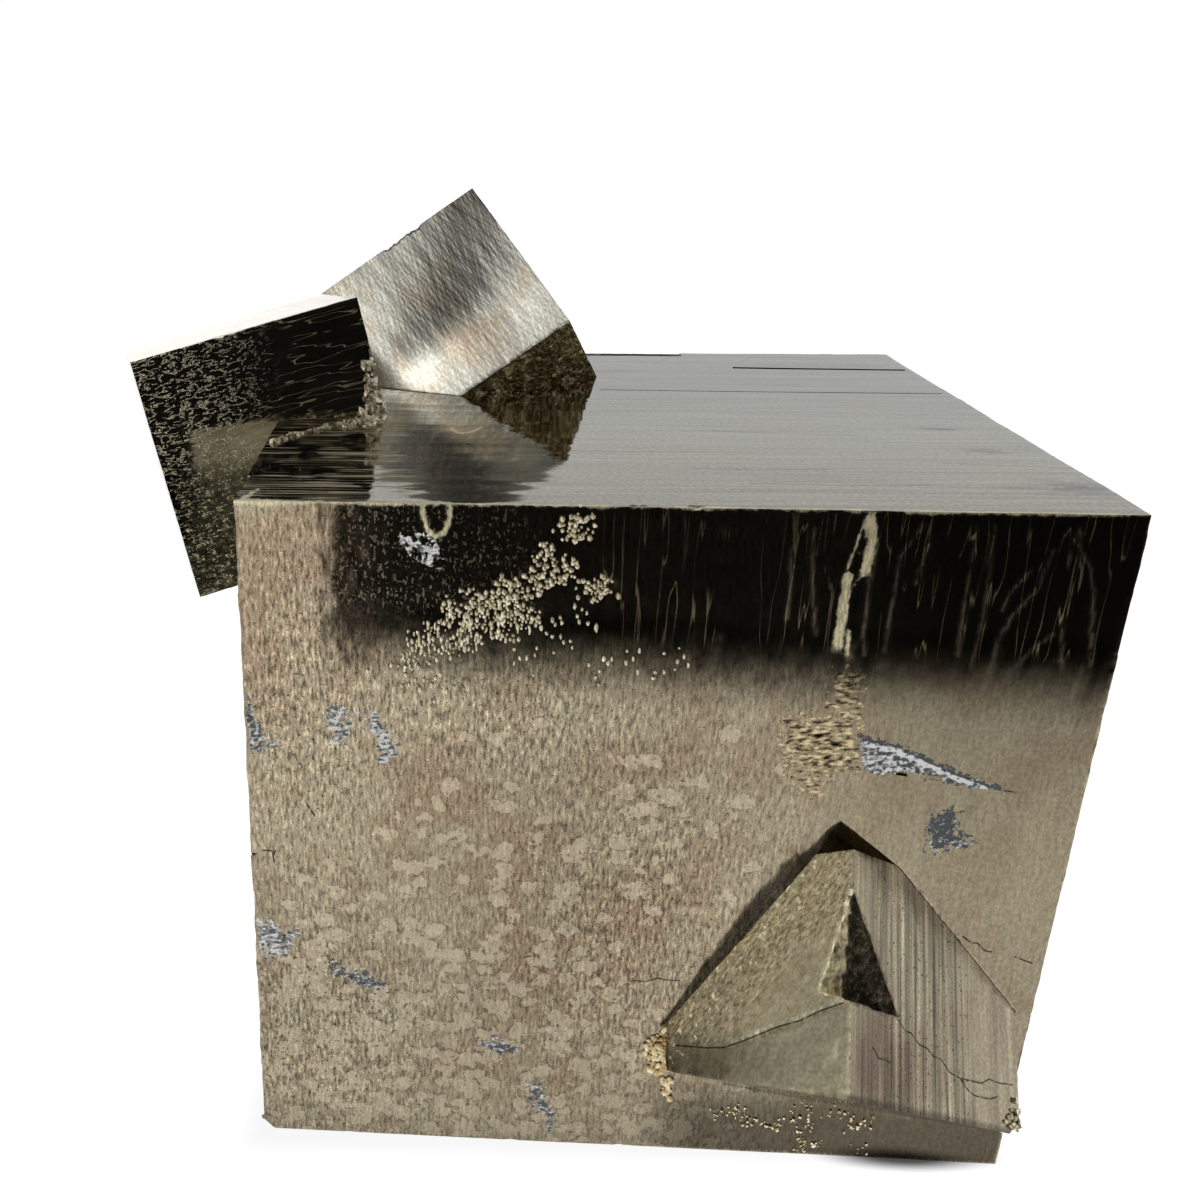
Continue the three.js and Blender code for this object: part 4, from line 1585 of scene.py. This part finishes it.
def pyrite(name, pale, rosy, of_front=False, **amounts):
    """A face finish. Lines and flecks are repeats per mm, along and across the growth lines."""
    amount = {**USUAL_AMOUNTS, **amounts}
    made, tree = new_material(name)
    place = add_node(tree, "ShaderNodeAttribute", attribute_name="face_mm").outputs["Vector"]
    layers = {
        "lines": noise_layer(tree, place, amount["lines"], 2),
        "fine": noise_layer(tree, place, amount["flecks"], 2, 0.7, amount["fleck_turn"]),
        "cloud": noise_layer(tree, place, CLOUD_REPEATS, 2, 0.6),
        "speckle": noise_layer(tree, place, SPECKLE_REPEATS, 1),
        "grains": noise_layer(tree, place, GRAIN_REPEATS, 3, 0.7),
    }
    fine, cloud, speckle, grains = (layers[key] for key in ("fine", "cloud", "speckle", "grains"))
    colour = metal_colour(tree, place, amount, (pale, rosy), layers)
    colour = stain_layer(tree, colour, layers)
    colour, on_pale = wear_and_highlight_layer(tree, colour, layers, amount["net_pale"])
    rough = plus(tree, amount["roughness"], product(tree, zone(tree, "grainy"), GRAINY_ROUGHNESS))
    rough = plus(tree, rough, spread(tree, cloud, 0.3, 0.7, 0.0, 0.02))
    rough = plus(tree, rough, product(tree, on_pale, WEAR_AND_HIGHLIGHT_ROUGHNESS))
    if amount["matte"]:
        dull = matte_lines(tree, place, cloud, amount["matte_lines"], amount["matte_width"])
        faint = product(tree, zone(tree, "faint"), spread(tree, fine, 0.3, 0.6, 0.05, 0.2))
        rough = plus(tree, rough, product(tree, dull, amount["matte"]), faint)
        colour = blend_colour(tree, product(tree, dull, 0.6), colour, DULL_COLOUR)
    streaks = grains
    if of_front:
        streaks = noise_layer(tree, place, LEDGE_REPEATS, 2, 0.5, LEDGE_TURN)
        colour = shingle_layer(tree, colour, grains, streaks)
        rough = plus(tree, rough, web_layer(tree, fine, speckle))
    colour, on_marl = marl_layer(tree, colour, grains, speckle, streaks)
    inputs = {
        "Base Color": colour,
        "Roughness": plus(tree, rough, product(tree, on_marl, MARL_ROUGHNESS)),
        "Metallic": sum_node(tree, "SUBTRACT", 1.0, on_marl),
        "Specular Tint": rgb(amount["graze"], amount["graze"], amount["graze"]),
    }
    close_tree(tree, inputs, relief_layer(tree, amount, layers))
    return made


# %% Face finishes
BRASSY = rgb(0.35, 0.3, 0.205)
ROSY = rgb(0.3, 0.225, 0.15)
OLIVE = rgb(0.25, 0.228, 0.158)
# The top face's greyer, cooler colour is a painted reflection of the pale sky it faces.
GREY = rgb(0.3, 0.283, 0.226)
FINISHES = {
    "front": pyrite(
        "front_face", BRASSY, ROSY, of_front=True, roughness=0.07, lines=(0.08, 1.2), line_shade=0.07,
        fleck_shade=1.35, pads=0.75, matte=0.16,
    ),
    "top": pyrite(
        "top_face", GREY, rgb(0.31, 0.27, 0.2), roughness=0.05, lines=(0.05, 2.2),
        line_bump=0.0012, flecks=(0.12, 3.2), matte=0.75,
        matte_lines=(0.05, 1.9), matte_width=0.045, graze=0.93,
    ),
    "side": pyrite(
        "side_face", rgb(0.31, 0.28, 0.2), rgb(0.28, 0.235, 0.16), roughness=0.06, lines=(0.05, 2.0),
        line_shade=0.12, line_bump=0.0015, flecks=(0.12, 3.2), fleck_shade=0.4, pads=0.2, grain_bump=0.03,
        matte=0.4, matte_lines=(0.05, 1.7), matte_width=0.03,
    ),
    "left_front": pyrite(
        "left_cube_front", rgb(0.36, 0.33, 0.25), rgb(0.155, 0.152, 0.105), roughness=0.07,
        lines=(0.25, 2.6), line_bump=0.006, flecks=(0.8, 2.4), fleck_shade=0.0, net_bump=0.02, net_pale=1.0,
        grain_bump=0.09, matte=0.45, matte_lines=(0.14, 1.2), matte_width=0.018,
    ),
    "behind_front": pyrite(
        "behind_cube_front", rgb(0.36, 0.35, 0.3), ROSY, roughness=0.2, lines=(0.14, 1.2), line_shade=0.1,
        scratches=1.05, fleck_shade=0.0,
    ),
    "corner_left": pyrite(
        "corner_cube_left", OLIVE, rgb(0.25, 0.21, 0.135), roughness=0.13, lines=(0.4, 1.0),
        line_shade=0.12, flecks=(1.6, 4.2), fleck_shade=1.2, fleck_turn=43, graze=0.1,
    ),
    "corner_front": pyrite(
        "corner_cube_front", rgb(0.27, 0.237, 0.163), rgb(0.205, 0.16, 0.115), roughness=0.12,
        lines=(0.05, 0.9), line_shade=0.38, line_bump=0.004, flecks=(0.05, 2.4), fleck_shade=1.1,
    ),
    "broken": pyrite("broken_face", rgb(0.36, 0.31, 0.2), ROSY, roughness=0.25, grain_bump=0.09),
    "speckled": pyrite(
        "speckled_face", rgb(0.58, 0.46, 0.23), rgb(0.2, 0.13, 0.05), roughness=0.1, flecks=(1.5, 2.1),
        fleck_shade=1.7, grain_bump=0.3,
    ),
}
finish_names = list(FINISHES)
print("finishes:", finish_names)

# %% [markdown]
# ## The crystals as one piece
# The grown-together cubes are a single body, so the areas are joined into one mesh. Each triangle gets the
# finish of its face. Every corner keeps its flat place on the face in mm, which the textures use in place
# of an unwrapped picture. Areas are shifted apart in it, so that no two show the same part of a texture.

# %% Crystal object
PATCH_SHIFT = np.array((41.3, 17.7))
CORNERS = 3


def add_piece(piece):
    bpy.context.scene.collection.objects.link(piece)
    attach(piece, "root")
    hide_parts("pyrite_crystals")


def per_triangle(values, repeats=1):
    """One value for each area, repeated for each of its triangles."""
    return np.repeat(values, [repeats * len(patch["triangles"]) for patch in patches])


corner_ids = np.concatenate([patch["ids"][patch["triangles"]] for patch in patches])
used = np.unique(corner_ids)
number_of = np.full(len(points), -1)
number_of[used] = np.arange(len(used))
corner_points = points[corner_ids.ravel()]
corner_ids = number_of[corner_ids]
flat_places = np.concatenate([patch["flat"][patch["triangles"]].reshape(-1, 2) for patch in patches])
patch_numbers = per_triangle(np.arange(len(patches)), CORNERS)
finish_index = per_triangle([finish_names.index(FINISH_OF.get(patch["kind"], "side")) for patch in patches])
front_corners = per_triangle([patch["kind"] in FRONT_KINDS for patch in patches], CORNERS)
flat_places[front_corners] = corner_points[front_corners][:, [2, 0]] * (1, -1)
patch_numbers[front_corners] = 0
data = bpy.data.meshes.new("crystals")
data.from_pydata((moved[used] * MM).tolist(), [], corner_ids.tolist())
for name in finish_names:
    data.materials.append(FINISHES[name])
data.polygons.foreach_set("material_index", finish_index.astype(np.int32))
data.polygons.foreach_set("use_smooth", np.ones(len(corner_ids), bool))
coordinates = data.attributes.new("face_mm", "FLOAT_VECTOR", "CORNER")
shifted = flat_places + patch_numbers[:, None] * PATCH_SHIFT
coordinates.data.foreach_set("vector", np.column_stack([shifted, np.zeros(len(shifted))]).ravel())
for name, field in zones.items():
    values = data.attributes.new(name, "FLOAT", "POINT")
    values.data.foreach_set("value", field[used].astype(np.float32))
print("mesh:", len(used), "points,", len(corner_ids), "triangles")

# %% Sharp borders between the faces
edge_ends = np.zeros(len(data.edges) * 2, np.int64)
data.edges.foreach_get("vertices", edge_ends)
edge_ends = np.sort(edge_ends.reshape(-1, 2), axis=1)
border_pairs = np.array([pair for chain in chains.values() for pair in zip(chain, chain[1:])])
border_pairs = np.sort(number_of[border_pairs], axis=1)
keys = edge_ends[:, 0] * len(used) + edge_ends[:, 1]
border_keys = border_pairs[:, 0] * len(used) + border_pairs[:, 1]
data.edges.foreach_set("use_edge_sharp", np.isin(keys, border_keys))
data.update()
crystals = bpy.data.objects.new("crystals", data)
add_piece(crystals)
check = bmesh.new()
check.from_mesh(data)
open_edges = sum(not edge.is_manifold for edge in check.edges)
check.free()
print("crystals: sharp edges:", int(np.isin(keys, border_keys).sum()), "open edges:", open_edges)

# %% [markdown]
# ## Pale grains on the front face
# Small pale pyrite grains crowd in a slanting cluster on the upper front face, with a few around it. They
# are too small for the CAD solid, and a texture of them would look painted from the side. So each is a
# little lump of its own, pressed into the face. One function makes every kind of grain as one joined mesh.

# %% Grain shapes
UNEVEN = 0.32
TILT = 0.35


def shape_of(make, **settings):
    """The corners and triangles of a plain shape."""
    mesh = bmesh.new()
    make(mesh, **settings)
    bmesh.ops.triangulate(mesh, faces=mesh.faces)
    corners = np.array([corner.co for corner in mesh.verts])
    faces = np.array([[corner.index for corner in face.verts] for face in mesh.faces])
    mesh.free()
    return corners, faces


BALL = shape_of(bmesh.ops.create_icosphere, subdivisions=2, radius=1)
CUBE = shape_of(bmesh.ops.create_cube, size=1.6)


def grain_piece(name, finish, shape, grains, seed, depth, sink, smooth_shade=True):
    """Each grain has a place, an outward normal, an up direction, a half width and a half height."""
    draw = np.random.default_rng(seed)
    corners, faces = shape
    all_points, all_faces = [], []
    for number, (place, normal, up, half_width, half_height) in enumerate(grains):
        sideways = np.cross(up, normal)
        basis = np.column_stack([sideways / np.linalg.norm(sideways), np.cross(normal, sideways), normal])
        turn = np.array(Euler(draw.normal(0, TILT, 3)).to_matrix())
        bumpy = corners * (1 + draw.uniform(-UNEVEN, UNEVEN, (len(corners), 1)))
        size = np.array((half_width, half_height, depth * half_width)) * draw.uniform(0.85, 1.15, 3)
        lifted = place + normal * half_width * depth * (1 - 2 * sink)
        all_points.append((bumpy @ turn.T * size) @ basis.T + lifted)
        all_faces.append(faces + number * len(corners))
    data = bpy.data.meshes.new(name)
    corners = np.concatenate(all_points) * MM
    data.from_pydata(corners.tolist(), [], np.concatenate(all_faces).tolist())
    data.polygons.foreach_set("use_smooth", np.full(len(data.polygons), smooth_shade))
    data.materials.append(finish)
    add_piece(bpy.data.objects.new(name, data))
    print(name, len(grains), "grains,", len(data.polygons), "triangles")


# %% Grain finishes
CRUMB_BROAD = {"Scale": 1.4 / MM, "Detail": 2.0}
CRUMB_SMALL = {"Scale": 6 / MM, "Detail": 3.0}
CRUMB_BUMP = 0.05


def crumb(name, dark, pale, roughness, metallic):
    """A small-grained finish that needs no face directions."""
    made, tree = new_material(name)
    place = add_node(tree, "ShaderNodeTexCoord").outputs["Object"]
    broad = add_node(tree, "ShaderNodeTexNoise", {"Vector": place, **CRUMB_BROAD}).outputs[0]
    small = add_node(tree, "ShaderNodeTexNoise", {"Vector": place, **CRUMB_SMALL}).outputs[0]
    mixed = plus(tree, product(tree, broad, 0.6), product(tree, small, 0.4))
    colour = blend_colour(tree, spread(tree, mixed, 0.4, 0.6), dark, pale)
    rough = plus(tree, roughness, spread(tree, small, 0.3, 0.7, 0.0, 0.15))
    inputs = {"Base Color": colour, "Roughness": rough, "Metallic": metallic}
    close_tree(tree, inputs, product(tree, small, CRUMB_BUMP))
    return made


PALE_GRAIN = crumb(
    "pale_grains", rgb(0.6, 0.52, 0.34), rgb(0.95, 0.89, 0.7), roughness=0.3, metallic=1.0,
)
GOLD_GRAIN = crumb(
    "gold_grains", rgb(0.75, 0.6, 0.28), rgb(1.0, 0.95, 0.75), roughness=0.3, metallic=1.0,
)
PALE_MARL = crumb(
    "pale_marl", rgb(0.2, 0.21, 0.22), rgb(0.72, 0.72, 0.7), roughness=0.7, metallic=0.0,
)
SLATE_MARL = crumb(
    "slate_marl", rgb(0.045, 0.052, 0.055), rgb(0.42, 0.42, 0.4), roughness=0.7, metallic=0.0,
)
LIMONITE = crumb(
    "yellow_limonite", rgb(0.55, 0.37, 0.14), rgb(0.95, 0.86, 0.56), roughness=0.75, metallic=0.0,
)
RUBBLE = crumb(
    "broken_crumbs", rgb(0.2, 0.165, 0.1), rgb(0.95, 0.88, 0.66), roughness=0.35, metallic=0.8,
)

# %% Grains on the front face
UP = np.array((0.0, 0.0, 1.0))
MOST_OFF = 0.2
CLUSTER_SPOTS = [
    (-6.5, 49.5), (-6.9, 49.1), (-8.5, 47.3), (-7.5, 46.0), (-8.8, 45.7), (-5.6, 45.3), (-4.9, 45.2),
    (-7.2, 46.6), (-10.6, 45.0), (-10.2, 44.4), (-11.2, 44.2), (-9.9, 43.5), (-11.9, 43.7), (-12.5, 43.6),
    (-13.4, 43.2), (-14.4, 43.3), (-12.2, 42.7), (-13.2, 42.2), (-15.3, 41.9), (-14.3, 40.9), (-16.3, 41.1),
    (-13.0, 41.2), (-11.1, 42.0), (-10.2, 42.7), (-9.3, 42.9), (-11.6, 42.9), (-12.8, 44.1), (-10.8, 43.4),
    (-15.6, 40.6), (-17.0, 39.6),
]
SPARSE_SPOTS = [
    (-7.9, 42.4), (-6.7, 42.3), (-8.8, 39.9), (-4.5, 39.3), (-2.0, 40.1),
    (0.5, 40.6), (-17.5, 38.3), (-15.0, 38.0), (-6.4, 43.2),
]
grain_rng = np.random.default_rng(23)


def front_grain(x, z, half_width, half_height):
    """A grain on the front face, at the height of its relief."""
    x, z = np.array([x]), np.array([z])
    place = on_large("front", np.column_stack([x, z]))
    off = np.clip(front_height(x, z), -MOST_OFF, MOST_OFF)
    return (place + off[:, None] * front_normal)[0], front_normal, UP, half_width, half_height


def apart(spots, gap):
    """Leaves out spots that are nearer than the gap to one already kept."""
    kept = []
    for spot in spots:
        if all((spot[0] - other[0]) ** 2 + (spot[1] - other[1]) ** 2 > gap**2 for other in kept):
            kept.append(spot)
    return kept


def cluster_spots(middles, each, reach):
    """Random spots around each middle."""
    middles = np.repeat(np.array(middles), each, axis=0)
    return [tuple(spot) for spot in middles + grain_rng.normal(0, reach, middles.shape)]


cluster = []
for x, z in apart(cluster_spots(CLUSTER_SPOTS, each=40, reach=0.42), gap=0.19):
    lower = smooth(44.5, 41, z)
    half = grain_rng.uniform(0.07, 0.18) * (1 - 0.3 * lower)
    cluster.append(front_grain(x, z, half, half * (1.1 + 1.5 * lower * grain_rng.uniform())))
for x, z in apart(cluster_spots(SPARSE_SPOTS, each=9, reach=0.7), gap=0.35):
    half = grain_rng.uniform(0.07, 0.13)
    cluster.append(front_grain(x, z, half, half * grain_rng.uniform(1.1, 2.2)))
grain_piece("front_grains", PALE_GRAIN, BALL, cluster, seed=61, depth=0.95, sink=0.2)

# %% [markdown]
# ## Gold grains
# Under the standing-out corner, tiny gold cubes sparkle on the dark foot of the front face. Balls would
# give each one soft highlight. Flat-shaded cubes at odd angles flash one by one, as the real ones do.

# %% Gold grains under the corner
GOLD_SPOTS = [
    (8.1, 3.8), (8.4, 4.0), (8.9, 3.2), (9.9, 2.9), (6.9, 3.5), (11.2, 2.7), (13.3, 1.4), (13.9, 3.6),
    (13.6, 2.6), (13.2, 4.8), (14.5, 1.0), (13.4, 0.6), (15.1, 4.2), (16.6, 3.9), (17.9, 3.4), (17.2, 2.8),
    (17.8, 0.6), (12.4, 3.6),
]
LOWEST = 0.3
gold = []
for x, z in apart(cluster_spots(GOLD_SPOTS, each=9, reach=0.34), gap=0.13):
    half = grain_rng.uniform(0.04, 0.12)
    gold.append(front_grain(x, max(z, LOWEST), half, half))
grain_piece("gold_grains", GOLD_GRAIN, CUBE, gold, seed=62, depth=1.0, sink=0.3, smooth_shade=False)

# %% [markdown]
# ## Marl crumbs
# Grey marl, the rock that the crystals grew in, still clings in the pits of the front face. The finish
# already colours it. Low crumbs within the same outlines make it stand a little proud and break its edge.

# %% Marl crumbs in the pits
MARL_PER_MM2 = 4
CHALKY = 0.2
FRONT_HALF = 27.6


def spots_inside(outline, per_mm2, gap, overhang):
    """Random spots in an outline. Some pass its border by up to the overhang."""
    corners = np.array(outline)
    low_corner, high_corner = corners.min(0) - overhang, corners.max(0) + overhang
    count = int(per_mm2 * np.prod(high_corner - low_corner))
    spots = grain_rng.uniform(low_corner, high_corner, (count, 2))
    depth = outline_depth(*spots.T, outline) + grain_rng.uniform(-overhang, overhang, count)
    return apart([tuple(spot) for spot in spots[depth > 0]], gap)


def marl_crumbs(name, finish, chalky):
    marl = []
    for outline, chalk in zip(MARL_OUTLINES, MARL_CHALK):
        if (chalk > CHALKY) != chalky:
            continue
        for x, z in spots_inside(outline, MARL_PER_MM2, gap=0.2, overhang=0.2):
            half = grain_rng.uniform(0.05, 0.15)
            x = np.clip(x, -FRONT_HALF, FRONT_HALF)
            marl.append(front_grain(x, z, half, half * grain_rng.uniform(0.7, 1.1)))
    grain_piece(name, finish, BALL, marl, seed=63, depth=0.45, sink=0.4)


marl_crumbs("pale_marl_crumbs", PALE_MARL, True)
marl_crumbs("slate_marl_crumbs", SLATE_MARL, False)

# %% [markdown]
# ## Limonite crust
# At the left end of the corner cube, yellow limonite has weathered out of the pyrite as a lumpy crust. It
# is made of larger balls that overlap, which read as one crust and need no surface of their own.

# %% Limonite at the end of the corner cube
LIMONITE_OUTLINES = [
    [(0.7, 9.1), (1.2, 10.5), (2.1, 11.3), (2.9, 11.3), (2.9, 8.0), (2.4, 6.9), (1.6, 7.1)],
    [(2.2, 6.9), (3.0, 6.9), (3.2, 4.7), (2.6, 5.2)],
]
LIMONITE_PER_MM2 = 26
limonite = []
for outline in LIMONITE_OUTLINES:
    for x, z in spots_inside(outline, LIMONITE_PER_MM2, gap=0.17, overhang=0.1):
        half = grain_rng.uniform(0.1, 0.26)
        limonite.append(front_grain(x, z, half, half))
grain_piece("limonite_crust", LIMONITE, BALL, limonite, seed=64, depth=0.9, sink=0.25)

# %% [markdown]
# ## Broken crumbs
# Where two crystals meet, their edges have crumbled, and small angular bits lie along the joins and at two
# chipped edges. They follow lines and spots on the faces, thicker in some places than in others.

# %% Crumbs where the small cubes meet the top face
TOP_UP = np.array((0.0, 1.0, 0.0))
LEFT_CRUST_LINE = [
    (-27.8, -13.0), (-27.4, -11.9), (-26.3, -10.2), (-25.1, -8.7), (-23.5, -7.4), (-22.0, -7.2),
]
LEFT_CRUST = [
    (-23.7, -7.6), (-21.8, -7.9), (-20.4, -6.8), (-20.4, -3.2), (-20.6, -1.0), (-21.3, -2.4), (-22.6, -4.9),
]
BEHIND_CRUST_LINE = [(-13.2, 4.5), (-12.4, 4.7), (-11.6, 4.8), (-10.6, 5.0)]
PATCHES_PER_MM = 0.9


def line_spots(line, per_mm, reach):
    """Random spots along a line."""
    found = []
    for start, end in zip(np.array(line), np.array(line)[1:]):
        for share in grain_rng.uniform(size=int(per_mm * np.linalg.norm(end - start))):
            found.append(tuple(start + (end - start) * share + grain_rng.normal(0, reach, 2)))
    return found


def top_crumb(x, y, half):
    place = on_large("top", [(x, y)])[0]
    return place, top_normal, TOP_UP, half * grain_rng.uniform(0.8, 1.3), half * grain_rng.uniform(0.8, 1.3)


crumbs = []
left_spots = line_spots(LEFT_CRUST_LINE, per_mm=14, reach=0.16)
left_spots += spots_inside(LEFT_CRUST, per_mm2=16, gap=0.2, overhang=0.3)
behind_spots = line_spots(BEHIND_CRUST_LINE, per_mm=16, reach=0.13)
for x, y in apart(left_spots, gap=0.17) + apart(behind_spots, gap=0.15):
    patchy = float(noise(np.array(x * PATCHES_PER_MM), np.array(y * PATCHES_PER_MM), 58))
    if patchy > grain_rng.uniform(-1.0, 0.1):
        crumbs.append(top_crumb(x, y, grain_rng.uniform(0.06, 0.22)))
print("crumbs on the top face:", len(crumbs))

# %% Crumbs at the chipped edges of the left cube and the corner cube
LEFT_CHIP = [
    (18.0, 13.6), (17.9, 12.8), (17.7, 12.0), (17.9, 11.2),
    (17.3, 11.2), (17.1, 10.4), (17.7, 10.3), (16.8, 9.8),
]
CORNER_END = [(17.6, 0.9), (17.9, 0.7), (17.3, 0.6), (17.8, 1.5), (18.1, 1.0)]
EDGE_LIMIT = 18.2
CORNER_START = 16
left_out = planes["left_front"]["normal"]
corner_out = planes["corner_front"]["normal"]
for x, z in apart(cluster_spots(LEFT_CHIP, each=16, reach=0.3), gap=0.16):
    half = grain_rng.uniform(0.06, 0.24)
    place = np.array((min(x, EDGE_LIMIT), 0.0, z)) @ turn_of(LEFT_CUBE).T + LEFT_CUBE["corner"]
    crumbs.append((place, left_out, UP, half, half * grain_rng.uniform(0.8, 2.2)))
for x, z in apart(cluster_spots(CORNER_END, each=7, reach=0.3), gap=0.22):
    half = grain_rng.uniform(0.1, 0.22)
    place = on_corner("front", [(np.clip(x, CORNER_START, EDGE_LIMIT), max(z, LOWEST))])[0]
    crumbs.append((place, corner_out, UP, half, half))
grain_piece("broken_crumbs", RUBBLE, CUBE, crumbs, seed=65, depth=0.9, sink=0.3, smooth_shade=False)
